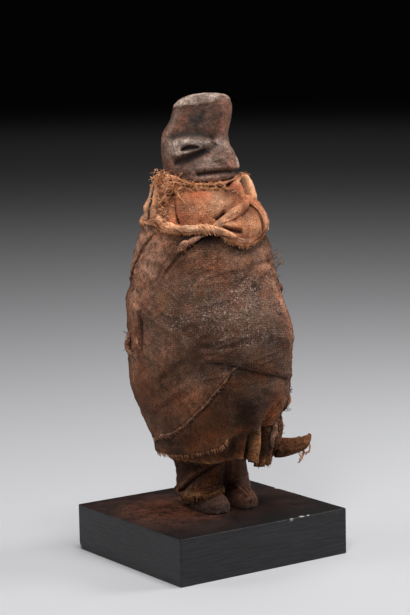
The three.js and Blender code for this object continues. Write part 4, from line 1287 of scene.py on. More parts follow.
def fringe(surface, line, length, gap, seed, lift=0.6, radius=0.16, curl=0.8):
    """Threads that leave a line to its right: each is four steps long, leans and curls sideways
    by a sine of its own, and lies a little above the surface."""
    random = np.random.default_rng(seed)
    path, left, run, mm = line_on(line, gap * 0.5)
    pick = np.sort(random.choice(len(path), max(int(len(path) * 0.5), 2), replace=False))
    each = (len(pick), 1)
    steps = np.linspace(0, 1, 5)
    long = length * random.uniform(0.35, 1.25, each)
    lean = random.normal(0, 0.7, each) * steps
    wave = random.normal(0, 0.35, each) * np.sin(steps * random.uniform(3, 7, each))
    out, aside = (0.3 - long * steps)[..., None], (curl * (lean + wave))[..., None]
    place = path[pick][:, None] + out * left[pick][:, None] + aside * run[pick][:, None]
    up = lift * (1 - 0.5 * steps) + random.normal(0, 0.35, each) * steps
    points = surface(place[..., 0] / mm, place[..., 1], np.maximum(up, 0.15))
    thin = radius * random.uniform(0.7, 1.3, each) * (1 - 0.5 * steps)
    return tube_shell(points, thin, 4)


def bundle_edges():
    """A hem on every lap, and a fringe on four of them."""
    lines = LAP_LINES
    hems = [hem(*row) for row in (
        (lines[0], 4, 1.6, 81, 0.7, 0.14, 0.8), (lines[1][:-1], 5, 1.4, 82), (lines[3], 5, 1.2, 83),
        (lines[2], 3, 1.3, 84), (lines[4][3:], 2.9, 2, 85, 0.6, 0.1, 0.7), (lines[5], 5, 1.3, 86),
        (lines[6], 5, 1.4, 87), (lines[7], 5, 1.2, 88))]
    threads = [fringe(on_bundle, *row) for row in (
        (lines[3], 2, 1.4, 92), (lines[1][2:-1], 1.6, 2, 93), (lines[6], 2.2, 1.4, 94),
        (lines[7], 2, 1.6, 95))]
    tell(joined("bundle_hems", hems, brown_cotton, "brown_cloth"))
    tell(joined("bundle_threads", threads, brown_thread, "brown_cloth"))


bundle_edges()

# %% [markdown]
# Under the bundle, the lower edges of the inner layers hang out like a short skirt. At the sides
# they are two ragged hems, one above the other; in front the cloth falls in narrow pleats with
# dark slits between them. A hanging layer is a ring of cloth, so it is a sheet with a thickness.

# %% The hanging layers
UNDER_HEM = [  # direction, height of the hem, lean inwards
    [-180, 35, 8], [-143, 34, 8], [-112, 34, 6], [-80, 35, 4.5], [-60, 35, 3.5], [-42, 37, 3],
    [-18, 36, 2], [-10, 31, 2], [10, 29, 2.5], [30, 28, 3], [60, 32, 4], [110, 35, 6], [180, 35, 8],
]
PLEATS = [
    (-36, -3.6, 6), (-29, 1.4, 6), (-22.5, -3.4, 4.5), (-14, 2.2, 6), (-5, -3.2, 4.5), (2.5, 1.4, 4.5),
    (10, -1.4, 4), (17, 1.2, 5), (26, -1.2, 4.5), (50, 1, 9), (66, -1, 8), (95, 1, 12), (130, -1.2, 10),
    (160, 1.2, 12), (-160, -1, 10), (-130, 0.8, 9), (-60, 0.7, 7), (-50, -0.8, 5),
]
SKIRT_RADIUS = 40
SKIRT_MARKS = {
    "rust": [
        (-13, 45, 9, 34, 1), (-29, 42, 14, 20, 0.4), (25, 38, 20, 16, 0.7), (-80, 36, 60, 6, 0.5),
        (100, 36, 60, 10, 0.6),
    ],
    # Painted shade: the dark slits between the pleats, the knotted strip and the band under the bundle's
    # rim.
    "grime": [
        (-21.5, 45, 4, 28, 1.3), (-37, 45, 8, 22, 0.9), (-4, 47, 4, 28, 1.3), (12, 48, 22, 26, 1.1),
        (-30, 54, 60, 6, 0.8),
    ],
    # Paler cloth, and painted light on the raised fold between the slits in front.
    "pale": [
        (-13.5, 46, 7, 30, 1.2), (-28, 38, 12, 6, 0.8), (-90, 35, 90, 4, 0.9), (8, 32, 30, 5, 0.6),
        (160, 35, 120, 4, 0.6),
    ],
}
SLITS = [  # out, width, line: where the pleats bend
    (-1.6, 3.4, [(-43, 38.5), (-38, 44), (-33, 49), (-29, 54)]),
    (-2, 3, [(-22, 37), (-21.5, 42), (-20.5, 47), (-19.5, 52), (-18, 56)]),
    (1.3, 3.6, [(-11, 33), (-11.4, 42), (-14, 49), (-17, 55)]),
    (-2, 3.2, [(-1, 33), (-1.8, 42), (-4.3, 51), (-6, 57)]),
]


def skirt_radius(direction, height):
    """The bundle's oval less a lean that grows downwards, plus the pleats, which are bells round
    the axis and deepest at the hem, plus the slits."""
    hem_height, lean = curves(UNDER_HEM, direction)
    rim = smooth(RIM, direction)[..., 0]
    t = (height - hem_height) / np.maximum(rim - hem_height, 4)
    back, a, b = curves(BUNDLE, np.maximum(height, 26))
    radius = oval(direction, a, b) - (lean + (2.2 - lean) * np.clip(t, -0.5, 1.2))
    slant = 0.7 * (height - 41) * ramp(0, 14, direction) * ramp(60, 30, direction)
    for at, out, width in PLEATS:
        off = np.radians(turn_from(direction - slant, at)) * radius
        radius = radius + out * bell(off, width) * np.clip(1.1 - 0.5 * t, 0.3, 1.4)
    for out, width, line in SLITS:
        away, along = beside(line, direction, height, SKIRT_RADIUS)
        radius = radius + out * bell(away, width * 1.4) * faded(along, 0.02, 0.2)
    return radius


def on_skirt(direction, height, lift=0.0):
    """Points on the skirt, lifted off it."""
    direction, height, lift = np.broadcast_arrays(direction, height, lift)
    return around(direction, skirt_radius(direction, height) + lift, height, 0.0, 3.0)


def skirt():
    """Rows run from the ragged hem up to where the bundle hides them."""
    direction = np.linspace(-180, 180, 361)[None]
    hem_height = smooth(UNDER_HEM, direction[0])[None, :, 0]
    rim = smooth(RIM, direction[0])[None, :, 0] + 5
    ring = around(direction, SKIRT_RADIUS, 0.0)
    nibbled = uneven(ring, 5, 3, 101) + 0.4 * uneven(ring, 1.2, 1, 102)
    height, share = ragged_rows(hem_height, rim, nibbled, 38)
    direction, height = np.broadcast_arrays(direction, height)
    grid = on_skirt(direction, height)
    inward = -3.5 * ramp(0.72, 1, share)
    wrinkle = 0.4 * (1 - np.abs(uneven(grid * [1, 1, 0.3], 3.4, 2, 103))) ** 2
    grid = on_skirt(direction, height, wrinkle + 0.15 * uneven(grid, 2, 2, 104) + inward)
    marks = spotted(direction, height, SKIRT_MARKS, SKIRT_RADIUS)
    made = skin("under_skirt", grid, red_cotton, "red_brown_cloth", marks, caps=False, thick=1.0)
    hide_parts("under_wrap")
    edge = fringe(on_skirt, edge_line(UNDER_HEM, range(-180, 181, 6)), 2.0, 1.1, 105, 0.3)
    threads = tell(joined("skirt_threads", [edge], brown_thread, "red_brown_cloth"))
    return tell(made)


def rim_layer():
    """The bundle's own lower edge: a frayed layer that hangs a little below its rim, from the
    front by the figure's right to the back, and by its left."""
    line = [(-178, 41), (-160, 40), (-134, 38.6), (-112.5, 39.8), (-92, 41.2), (-81, 42), (-70, 44),
            (-60, 45.6),
            (-50, 47.6), (-43, 51.4)]
    left_side = [(34, 53.4), (48, 50), (62, 47), (84, 44.6), (110, 43), (140, 42), (176, 41.4)]
    hems = [hem(line, 6.5, 1.5, 111, 0.5, 0.03), hem(left_side, 6, 1.4, 112, 0.5, 0.03)]
    tell(joined("rim_hems", hems, brown_cotton, "brown_cloth"))
    threads = [fringe(on_bundle, *row) for row in (
        (LAP_LINES[0][:-2], 2.0, 0.9, 91, 1.2, 0.17, 1.2), (line, 3.4, 0.5, 114, 0.9, 0.18, 0.5),
        (left_side, 2.8, 0.9, 115, 0.8))]
    tell(joined("rim_threads", threads, tan_thread, "brown_cloth"))


skirt()
rim_layer()

# %% [markdown]
# The right leg has a cloth of its own, wound slantwise and frayed over the foot. It is a sleeve:
# rings of a turned oval, with the upper turn standing a millimetre proud of the lower one.

# %% The leg's cloth
LEG = [  # height, half width, half depth
    [8, 13.2, 19.4], [10.5, 13.4, 19.4], [16, 13, 18.4], [22, 12.8, 17.6], [28, 14, 18.6],
    [34, 15, 19.4], [38, 13.6, 17], [44, 11.5, 14.5],
]
LEG_LAP = [(-125, 12), (-105, 15), (-80, 20), (-50, 27), (-20, 33), (0, 37)]
SECOND_LAP = [(-40, 16), (0, 20), (40, 26), (90, 31)]
LEG_HEM = [
    [-180, 11], [-150, 12], [-120, 12.5], [-95, 10], [-70, 10], [-45, 11], [-25, 12.4], [-5, 14.5],
    [20, 14], [60, 12.5], [110, 12], [150, 11], [180, 11],
]
LEG_MARKS = {
    "rust": [
        (-60, 14, 20, 8, 0.7), (-20, 22, 16, 10, 0.5), (60, 20, 20, 16, 0.5),
    ],
    "grime": [
        (-100, 30, 22, 14, 0.4), (-10, 34, 30, 12, 0.2), (-70, 21, 14, 8, 0.4),
    ],
    "pale": [
        (-75, 11.5, 40, 4, 0.8), (-100, 17, 14, 5, 0.5), (120, 12, 40, 5, 0.6),
    ],
}


def on_leg(direction, height, lift=0.0):
    """Rings of an oval that is turned like the foot; the slanting lap and the pull wrinkles are
    added to its radius."""
    direction, height, lift = np.broadcast_arrays(direction, height, lift)
    a, b = curves(LEG, height)
    radius = oval(direction + 18, a, b)
    for line, step, groove, reach, start in ((LEG_LAP, 1.7, 1.4, 8, 0.05), (SECOND_LAP, 0.8, 0.6, 6, 0.1)):
        away, along = beside(line, direction, height, 15.0)
        radius = radius + lap_profile(away, step, groove, reach) * faded(along, start, 0.1)
    return around(direction, radius + lift, height, -12.4, 9.0)


def leg_cloth():
    """Rows run up from the frayed hem. Slanting creases are noise that is drawn out along them."""
    direction = np.linspace(-180, 180, 181)[None]
    bottom = smooth(LEG_HEM, direction[0])[None, :, 0]
    ragged = 1.3 * uneven(around(direction, 16.0, 0.0), 3.5, 3, 121)
    height = ragged_rows(bottom, 43, ragged, 60)[0]
    direction, height = np.broadcast_arrays(direction, height)
    u = np.radians(direction) * 16
    slanted = np.stack([(u + 1.6 * height) / 6, height - 0.5 * u, u * 0], axis=-1)
    crease = 0.7 * (1 - np.abs(uneven(slanted, 3.6, 2, 122))) ** 3
    grid = on_leg(direction, height, crease + 0.15 * uneven(on_leg(direction, height), 1.8, 2, 123))
    marks = spotted(direction, height, LEG_MARKS, 16)
    lap, along = beside(LEG_LAP, direction, height, 15.0)
    # A painted shadow, laid on as grime, under the slanting lap.
    marks["grime"] = np.maximum(marks["grime"], bell(lap + 1.2, 3.4) * faded(along, 0.05, 0.1))
    made = skin("leg_wrapping", grid, dark_cotton, "dark_cloth", marks, caps=False, thick=1.0)
    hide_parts("leg_cloth")
    line = edge_line(LEG_HEM, range(-180, 181, 12), above=0.5)
    edges = [fringe(on_leg, line, 4.0, 0.7, 124, 0.8, 0.2, 1.2),
             fringe(on_leg, LEG_LAP, 1.4, 1.4, 125, 0.8, 0.15)]
    threads = tell(joined("leg_threads", edges, brown_thread, "dark_cloth"))
    return tell(made)


leg_cloth()

# %% [markdown]
# Beside the left hip the end of a wrapping sticks out, twisted and knotted, like a tail. It is a
# flat oval carried along a bent line and drawn to a point, with pull folds along it.

# %% The knotted end
TAIL = [  # x, y, height, half height, half thickness
    [18, -10, 39, 12, 7.5], [23, -15.6, 38.2, 12, 7.4], [27.5, -19.2, 37, 10, 6.6],
    [30.4, -21.6, 36, 6.9, 5.6], [34, -25, 35.4, 6.4, 5.2], [38.6, -29.4, 36.2, 5.6, 4.4],
    [43.6, -34.1, 37.6, 4.3, 3.2], [46.5, -36.9, 40.8, 2.2, 2], [47.6, -37.9, 43.4, 0.9, 0.9],
]
TAIL_ENDS = [  # x, y, height of the torn strips that hang from it
    [(43.8, -34.6, 34.4), (44.2, -35, 31), (43.2, -33.8, 27.6), (41.6, -32.2, 24.4)],
    [(46.6, -37, 38.6), (47.6, -38, 35.6), (46.6, -37.4, 32.6), (44.8, -36, 30.4)],
    [(42.6, -33.4, 33.6), (42, -33.2, 30.6), (43.6, -34.2, 28.4), (42.8, -33.6, 25.6)],
]


def tail():
    """Sections across the line: an oval of the row's half height and half thickness. Folds run
    along it, and a band is tied round its root."""
    rows = np.array(TAIL, float)
    place = np.linspace(0, len(rows) - 1, 120)
    values = smooth(np.arange(len(rows), dtype=float), place, rows)
    aside, above = across_of(values[:, :3], [0, 0, 1])
    turn = np.linspace(0, 2 * math.pi, 73)[None, :, None]
    tall, thick = values[:, None, 3:4], values[:, None, 4:5]
    spoke = np.cos(turn) * thick * aside[:, None] + np.sin(turn) * tall * above[:, None]
    grid = values[:, None, :3] + spoke
    share = place[:, None] / (len(rows) - 1)
    ring = 3 * np.cos(turn[..., 0]), 3 * np.sin(turn[..., 0])
    pull = np.stack(np.broadcast_arrays(place[:, None] * 1.3, *ring), axis=-1)
    fold = (1 - np.abs(uneven(pull, 2.2, 2, 131))) ** 2 * 1.3 - 0.6
    band = 1.5 * bell(share - 0.31, 0.05) - 1.6 * bell(share - 0.37, 0.04) - 0.8 * bell(share - 0.25, 0.04)
    size = np.linalg.norm(spoke, axis=-1)
    lift = fold * ramp(1, 0.85, share) * np.minimum(size / 4, 1) + band
    grid = grid + spoke * (lift / size)[..., None]
    # Darker in the groove beside the tied band: painted shade.
    marks = {"rust": 0.2 + 0.3 * ramp(0.3, 0.6, share), "grime": 0.9 * bell(share - 0.36, 0.06),
             "pale": 0.4 * ramp(0.5, 0.9, share)}
    made = skin("tail_end", grid, red_cotton, "red_brown_cloth", marks)
    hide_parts("tail_cloth")
    random = np.random.default_rng(133)
    loose = np.linspace(0.3, 1.6, 4)[:, None]
    paths = np.array([along_path(np.array(end) + random.normal(0, 0.5, (4, 3)) * loose, 14)
                      for end in TAIL_ENDS for _ in range(3)])
    strips = tube_shell(paths, np.full(paths.shape[:2], 0.3), 5)
    threads = tell(joined("tail_threads", [strips], tan_thread, "red_brown_cloth"))
    return tell(made)


tail()

# %% [markdown]
# An orange-tan cloth is wound round the neck like a scarf. It lies smooth over the chest, where
# its lower edge is rolled, rises as a collar at the figure's left, and falls over the shoulders
# behind. Its outline changes round the neck, so each direction has a row of five points, from the
# inside of the collar to the lower edge, and curves run through them.

# %% The scarf round the neck
SCARF = [  # direction, then radius and height: inside, top edge, slope, low, lower edge
    [-180, 16, 203, 28, 213.4, 32.5, 208, 35.5, 201, 37.5, 187.5],
    [-143, 16, 203, 25, 215.8, 30.9, 208.5, 33.4, 200, 37.6, 187],
    [-118, 16, 203, 25.5, 214.5, 31.4, 207, 35.2, 197, 39.5, 186],
    [-104, 16, 204, 27, 209.5, 31.2, 205, 35.8, 195, 39.4, 185],
    [-94, 15.5, 202, 27, 203.4, 31, 200.5, 36.8, 191, 38.4, 184],
    [-86, 15.5, 203, 25, 205.4, 31, 201.5, 37.8, 188.6, 38, 182],
    [-75, 15, 203, 23.5, 206.6, 31.6, 201.6, 38.4, 186.6, 38, 181],
    [-62, 15, 203, 22.5, 207.3, 32.2, 201.2, 38.7, 186, 38, 180.5],
    [-50, 15, 203, 22.3, 207.6, 32.5, 200.8, 38.7, 186, 38, 180.5],
    [-38, 15, 203, 22.7, 207.5, 32.3, 200.6, 38.4, 187.6, 37.5, 181],
    [-24, 15, 203, 24, 206.6, 31.6, 201.6, 37, 192.4, 37.5, 184],
    [-10, 15, 204, 26.5, 207.5, 31.2, 203.6, 36, 196, 37.5, 186],
    [4, 16, 204.5, 27, 212.2, 31.8, 206.5, 36, 198, 37.5, 187],
    [16, 16, 204, 27.3, 214.4, 30.8, 209.3, 34.2, 200, 37, 187],
    [37, 16, 203.5, 25.4, 213.8, 29.4, 208.6, 32.6, 199.6, 36.4, 187],
    [60, 16, 203, 27.2, 213.2, 30.6, 208.2, 33.8, 200, 38, 187],
    [90, 16, 203, 28.8, 213, 33, 208.5, 37, 200, 41, 185.5],
    [120, 16, 203, 28.8, 214, 33, 209.5, 36.5, 201, 39.5, 190],
    [150, 16, 203, 28, 212.4, 32.5, 207, 35.5, 200, 38, 184.5],
    [180, 16, 203, 28, 213.4, 32.5, 208, 35.5, 201, 37.5, 187.5],
]
CHEST = [  # out, width, line: the slit, the pocket beside the roll, and slack creases
    (-2.4, 1.9, [(-88, 203), (-85, 198.5), (-81.5, 193), (-76, 186.5)]),
    (-1.6, 1.5, [(-84, 199), (-80, 193), (-73.5, 186.5)]),
    (1.3, 2.2, [(-11, 203.6), (-20, 200.6), (-29, 197.4), (-37, 194.6), (-43, 191)]),
    (-2.2, 3, [(-29, 194.2), (-34, 192), (-41, 188.8)]),
    (-0.6, 2, [(-68, 205), (-62, 199), (-57, 192), (-54, 187)]),
    (0.6, 4, [(-63, 205), (-57, 198), (-52, 190)]), (0.7, 5, [(-96, 201), (-93, 195), (-88, 188)]),
    (-0.8, 3, [(-92, 203), (-90, 196), (-86, 189)]),
    (1, 4, [(-138, 212), (-130, 204), (-124, 196), (-118, 188)]),
    (-1, 3, [(-133, 212), (-126, 204), (-120, 196), (-114, 188)]),
    (0.8, 4, [(24, 212), (27, 206), (32, 201)]),
]
COLLAR_FOLD = [(11, 216), (11.5, 210), (10.5, 205), (7, 199.5)]
TATTERS = [(-108, 212.5), (-101, 208), (-98.5, 202), (-96, 196), (-92.5, 190)]
SCARF_MARKS = {
    "rust": [
        (-68, 191, 11, 9, 0.9), (-80, 192, 8, 14, 0.8), (-55, 203, 14, 7, 0.8), (-88, 207, 16, 5, 0.5),
        (0, 208, 12, 6, 0.9), (-60, 194, 26, 12, 0.35), (-130, 205, 16, 20, 0.7),
    ],
    # Grime, and painted shade in the gap under the top band.
    "grime": [
        (-68, 191, 10, 7, 0.4), (-72, 197, 12, 10, 0.45), (-60, 207.5, 34, 3, 0.5),
        (-14, 205, 10, 6, 0.7), (-92, 196, 5, 16, 0.4),
    ],
    "pale": [
        (-52, 196, 30, 14, 0.3), (-88, 191, 10, 12, 0.5), (25, 207, 18, 18, 2.2),
        (38, 203, 20, 22, 1.2), (-36, 200, 14, 12, 0.5), (-124, 200, 18, 30, 1.3), (5, 211, 8, 4, 0.6),
    ],
}
NECK = (0.0, 12.0)  # the axis of the neck cloth


def scarf():
    """Curves through the rows' points; then gathers, which are waves round the axis; drawn
    creases; a step where the collar folds over; and torn pits along the tatters. The columns are
    closer together where the photograph shows them."""
    direction = np.concatenate([
        np.linspace(-180, -146, 19, False), np.linspace(-146, 42, 329, False), np.linspace(42, 180, 70)])
    knots = smooth(SCARF, direction).reshape(len(direction), 5, 2).transpose(1, 0, 2)
    place = np.linspace(0, 4, 104)
    section = smooth(np.arange(5.0), place, knots)
    radius, height = section[..., 0], section[..., 1]
    d = np.broadcast_to(direction, radius.shape)
    behind = np.clip(ramp(-112, -130, d) + ramp(60, 90, d), 0, 1) * ramp(2.4, 3.2, place)[:, None]
    lies_on = bundle_radius(d, np.clip(height, 150, 206), False) + 1.4
    radius = radius + behind * np.maximum(lies_on - radius, 0)
    grid = around(d, radius, height, *NECK)
    showing = ramp(1.0, 1.25, place)[:, None]
    gathered = np.clip(0.12 + 0.9 * ramp(-112, -135, d) + 0.9 * ramp(22, 50, d), 0, 1)
    upright = np.stack([np.radians(d) * 30, height * 0.22, radius * 0.22], axis=-1)
    waves = (1 - np.abs(uneven(upright, 5.0, 2, 141))) ** 2
    lift = 1.3 * (waves - 0.45) * gathered * showing + 0.22 * uneven(grid, 3, 3, 142)
    # dark is painted shade: in the deep creases, under the collar's fold and in and round the torn pits.
    # It is laid on with the grime.
    dark = np.zeros_like(lift)
    for out, width, line in CHEST:
        away, along = beside(line, d, height, 34.0)
        lift += out * bell(away, width * 1.3) * faded(along, 0.1, 0.05) * showing
        if out < -0.8:
            dark = np.maximum(dark, bell(away, width * 1.1) * faded(along, 0.05, 0.05) * showing)
    fold, along = beside(COLLAR_FOLD, d, height, 31.0)
    step = 2.4 * ramp(-0.5, 0.5, fold) * np.exp(-np.maximum(fold, 0) / 16) - 5.0 * bell(fold + 1.6, 4.0)
    lift += step * faded(along, 0.02, 0.25) * showing * (np.abs(d - 10) < 60)
    dark = np.maximum(dark, bell(fold + 1.7, 4.2) * faded(along, 0.02, 0.3) * showing)
    torn, along = beside(TATTERS, d, height, 32.0)
    pit = ramp(0.1, 0.5, uneven(grid, 3.2, 2, 143)) * bell(torn, 11) * showing
    lift += -2.6 * pit + 1.2 * bell(torn, 10) * showing * (1 - pit) * np.abs(uneven(grid, 2.2, 2, 144))
    dark = np.maximum(dark, np.clip(1.4 * pit + 0.5 * bell(torn, 9) * showing, 0, 1))
    grid = around(d, radius + lift, height + 0.4 * lift, *NECK)
    marks = spotted(d, height, SCARF_MARKS, 32)
    marks["grime"] = 1.5 * np.maximum(marks["grime"], dark)
    made = skin("scarf", grid, orange_cotton, "tan_cloth", marks, caps=False, thick=1.1)
    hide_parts("neck_cloth")
    return tell(made)


neck_scarf = scarf()

# %% [markdown]
# The rolled edges are cloth rolled on itself, soft and uneven: a thick tube with slack wrinkles
# that wind slowly round it. One runs level under the chest, and one climbs from it to the collar.
# The collar's top is a strip of its own with its edge rolled over.

# %% Rolls of cloth
def at_neck(rows):
    """Points round the neck cloth's axis from rows of direction, radius and height."""
    return around(*np.array(rows, float).T, *NECK)


def rolled(points, radii, seed, tone, steps=150, soft=0.16, turns=0.8):
    """A tube whose radius has wrinkles: noise that is stretched along it and turns round it.
    radii are rows of a share of the length and a radius, and tone is how pale the cloth is."""
    line = along_path(points, steps)
    share = np.linspace(0, 1, steps)
    size = smooth(radii, share)
    aside, above = across_of(line, [0.05, 0.1, 1])
    turn = np.linspace(0, 2 * math.pi, 25)[None]
    wound = turn + 2 * math.pi * turns * share[:, None]
    gone = gone_along(line)[:, None] / 5 + 0 * turn
    stretched = np.stack([gone, 1.7 * np.cos(wound), 1.7 * np.sin(wound)], axis=-1)
    wrinkle = 1 - 2 * np.abs(uneven(stretched, 1.6, 2, seed))
    spoke = np.cos(turn)[..., None] * aside[:, None] + np.sin(turn)[..., None] * above[:, None]
    rough = 1 + soft * wrinkle + 0.12 * uneven(line[:, None] + spoke * size[..., None], 4.0, 3, seed + 2)
    close = np.sqrt(np.clip(faded(share, 0.03, 0.03), 0.05, 1))[:, None]
    grid = line[:, None] + spoke * (size * rough * close)[..., None]
    # The hollows of the wrinkles are darkened: painted shade.
    marks = {"pale": np.clip(tone + 0.5 * uneven(grid, 6, 2, seed + 3), 0, 1),
             "rust": np.clip(uneven(grid, 7, 2, seed + 5), 0, 1) * 0.6,
             "grime": np.clip(-wrinkle, 0, 1) * 0.5}
    return shell(grid, marks=marks)


LEVEL_ROLL = [
    (-104, 36.6, 193), (-99, 37.6, 189.6), (-93, 38.6, 187.2), (-84, 39.5, 185.4), (-76, 40, 184.4),
    (-66, 40.2, 184.3), (-57, 40.2, 184.8), (-49, 40.8, 184.8), (-43, 42.2, 184.2), (-36, 43.6, 182.8),
    (-29, 44.6, 180.5), (-22, 45, 178), (-16, 45.2, 176.4),
]
RISING_ROLL = [
    (-50, 39.6, 182.6), (-45, 40.4, 184), (-38, 40.2, 186.9), (-30, 39.4, 190.3), (-20, 38.3, 193.8),
    (-9, 36.8, 197), (0, 35.2, 199.6), (8, 32.6, 201.8), (14, 30.4, 203.2),
]
TOP_BAND = [
    [-180, 27.5, 214], [-143, 24.4, 217], [-125, 24.8, 216.3], [-108, 24.4, 215.8], [-96, 23.8, 215.2],
    [-86, 22, 213], [-74, 21, 211.4], [-56, 21, 210.8], [-39, 21.5, 211], [-22, 22.5, 211.7],
    [-4, 24, 213], [10, 26, 214.2], [20, 26.6, 214.8], [37, 24.6, 214.4], [60, 26.5, 214],
    [120, 28, 213.8], [180, 27.5, 214],
]
BAND_SECTION = np.array([  # outwards and up from the edge
    [0, 0.8], [0.55, 0.6], [0.8, 0.05], [0.6, -0.5], [-0.1, -0.9], [-1.6, -1.8], [-3.4, -5.5],
    [-4, -5.1], [-2.2, -1.4], [-1.2, -0.4], [-0.8, 0.2], [-0.5, 0.6], [0, 0.8],
])


def top_band():
    """A closed section goes over the rolled edge, down outside and back up inside, all round."""
    turn = np.linspace(-180, 180, 430)
    radius, height = curves(TOP_BAND, turn)
    out, rise = BAND_SECTION.T
    edge = around(turn, radius, height)
    lumps = 1 + 0.35 * uneven(edge, 3.5, 3, 145)[:, None]
    radius, height = radius + 0.4 * uneven(edge, 6, 2, 146), height + 0.5 * uneven(edge, 5, 2, 147)
    grid = around(turn[:, None], radius[:, None] + out * lumps, height[:, None] + rise * lumps, *NECK)
    # The part of the band that goes down inside the collar is darkened and not pale: painted shade under
    # the rolled edge.
    inside = np.clip(-rise / 2 - 0.4, 0, 1)
    return shell(grid, {"pale": np.clip(0.75 - inside, 0, 1), "grime": inside})


def rolls():
    level = [[0, 1.4], [0.08, 2.8], [0.2, 3.1], [0.38, 2.5], [0.6, 2.2], [0.72, 1.9], [0.88, 1.3],
             [1, 0.7]]
    rising = [[0, 1.2], [0.15, 2.3], [0.5, 3.1], [0.75, 2.7], [0.9, 1.8], [1, 0.9]]
    shells = [rolled(at_neck(LEVEL_ROLL), level, 151, 1.0),
              rolled(at_neck(RISING_ROLL), rising, 152, 0.25),
              top_band()]
    return tell(joined("scarf_rolls", shells, orange_cotton, "tan_cloth"))


# %% [markdown]
# Over the left breast the scarf's end hangs down as a flap with a frayed hem. It is a sheet of
# its own that bulges over the bundle. A dark slit opens below the roll, and a seam with a thread
# in it runs down its outer part.

# %% The flap
FLAP = [  # direction, top, hem, how far it bulges
    [-52, 184, 183.4, 40.5], [-43, 186.5, 182.4, 42.6], [-35, 189.6, 178.6, 44.2],
    [-27, 192, 175.3, 45], [-17, 195, 173, 45.4], [-6, 198, 174.4, 45], [6, 200, 177.4, 44.4],
    [14, 201, 178.8, 43.2], [21, 201.4, 179.8, 42], [30, 201.4, 180.4, 40.4], [37, 201, 180.8, 39],
    [45, 201, 183.5, 38.2], [60, 201, 190, 36.6], [75, 203, 197, 36],
]
FLAP_LINES = [  # out, width, line
    (-2.6, 2.6, [(-42, 185.6), (-36, 184.9), (-30, 183.6), (-24, 182.4), (-19, 181.6)]),
    (1, 3, [(-38, 188), (-29, 186.4), (-19, 184)]), (-1.6, 8, [(-16, 191), (-6, 193.5), (3, 195.5)]),
    (1.1, 5, [(-14, 186), (-4, 183), (4, 178)]), (-0.7, 4, [(-26, 190), (-12, 189), (0, 187.5)]),
    (1, 6, [(12, 197), (17, 190), (17, 183)]), (1.2, 4, [(27, 199), (32, 193), (35, 186)]),
    (-0.9, 3, [(22, 198), (26, 192), (28, 185)]),
]
SEAM = [(-9, 201), (-2, 200.2), (2, 198.2), (5, 194.3), (5.6, 189.3), (6, 184), (5.5, 178)]
FLAP_RADIUS = 42
FLAP_MARKS = {
    "rust": [
        (20, 196, 8, 8, 0.6), (-14, 178, 18, 5, 0.5),
    # Painted shade in the hollow under the roll.
    ],
    "grime": [
        (-2, 194, 14, 8, 0.6), (0, 197, 10, 5, 0.8),
    ],
    "pale": [
        (34, 187, 14, 16, 1.2), (-22, 176, 30, 4, 1), (25, 184, 20, 8, 0.9), (10, 188, 6, 16, 0.8),
        (-6, 186, 20, 12, 0.5), (-30, 187, 14, 3, 0.7), (-8, 181, 18, 5, 0.5),
    ],
}


def on_flap(direction, height, lift=0.0):
    """From under the roll the radius swells by a sine's half wave and comes to lie on the bundle
    at the hem."""
    direction, height, lift = np.broadcast_arrays(direction, height, lift)
    top, low, bulge = curves(FLAP, direction)
    share = np.clip((height - low) / np.maximum(top - low, 2), 0, 1)
    foot = bundle_radius(direction, np.maximum(low, 170), False) + 2.4
    head = smooth(SCARF, direction)[..., 6] + 0.8
    swell = np.sin(math.pi * share ** (0.9 - 0.35 * ramp(8, 30, direction)))
    radius = foot + (head - foot) * share + (bulge - (foot + head) / 2) * swell
    for out, width, line in FLAP_LINES:
        away, along = beside(line, direction, height, FLAP_RADIUS)
        radius = radius + out * bell(away, width * 1.3) * faded(along)
    seam = beside(SEAM, direction, height, FLAP_RADIUS)[0]
    step = 0.9 * ramp(-0.4, 0.4, seam) * np.exp(-np.maximum(seam, 0) / 9) - 0.9 * bell(seam + 0.9, 2.2)
    return around(direction, radius + step * ramp(-12, -6, direction) + lift, height, *NECK)


def flap():
    """Rows run from the ragged hem up to the roll. The slit, the hollow and the low side of the seam's
    step are darkened: painted shade.
    """
    direction = np.linspace(-52, 75, 220)[None]
    top, low, bulge = curves(FLAP, direction)
    ragged = 0.6 * uneven(around(direction, FLAP_RADIUS, 0.0), 3.5, 3, 161)
    height = ragged_rows(low, top, ragged, 64)[0]
    direction, height = np.broadcast_arrays(direction, height)
    grid = on_flap(direction, height)
    crease = 0.5 * (1 - np.abs(uneven(grid * [1, 1, 0.8], 6, 2, 162))) ** 3
    crease = crease + 0.15 * uneven(grid, 1.8, 2, 163)
    grid = on_flap(direction, height, crease)
    marks = spotted(direction, height, FLAP_MARKS, FLAP_RADIUS)
    for (out, width, line), strong in ((FLAP_LINES[0], 1.0), (FLAP_LINES[2], 0.45)):
        away, along = beside(line, direction, height, FLAP_RADIUS)
        slit = strong * bell(away, width) * faded(along, 0.05, 0.05)
        marks["grime"] = np.maximum(marks["grime"], slit)
    seam = beside(SEAM, direction, height, FLAP_RADIUS)[0]
    marks["grime"] = np.maximum(marks["grime"], 0.8 * bell(seam + 0.7, 1.6) * ramp(-12, -6, direction))
    made = skin("scarf_flap", grid, orange_cotton, "tan_cloth", marks, loop=False, thick=1.0)
    line = edge_line(FLAP, range(-50, 76, 3), 1)
    outer = [(35, 183), (37, 187), (36, 191), (33, 195)]
    threads = [fringe(on_flap, *row) for row in (
        (line, 2.6, 0.32, 164, 1.3, 0.2, 0.3), (line, 1.6, 0.5, 165, 1.6, 0.18, 0.7),
        (outer, 2.2, 0.4, 166, 1.0, 0.17, 0.4))]
    stitches = twisted(on_flap(*np.array(SEAM[:-1], float).T, 0.7), 0.22, 2.0, 120)
    threads.append(tube_shell(stitches, np.full(stitches.shape[:2], 0.25), 5))
    return tell(made), tell(joined("flap_threads", threads, tan_thread, "tan_cloth"))


scarf_rolls = rolls()
scarf_flap, flap_threads = flap()

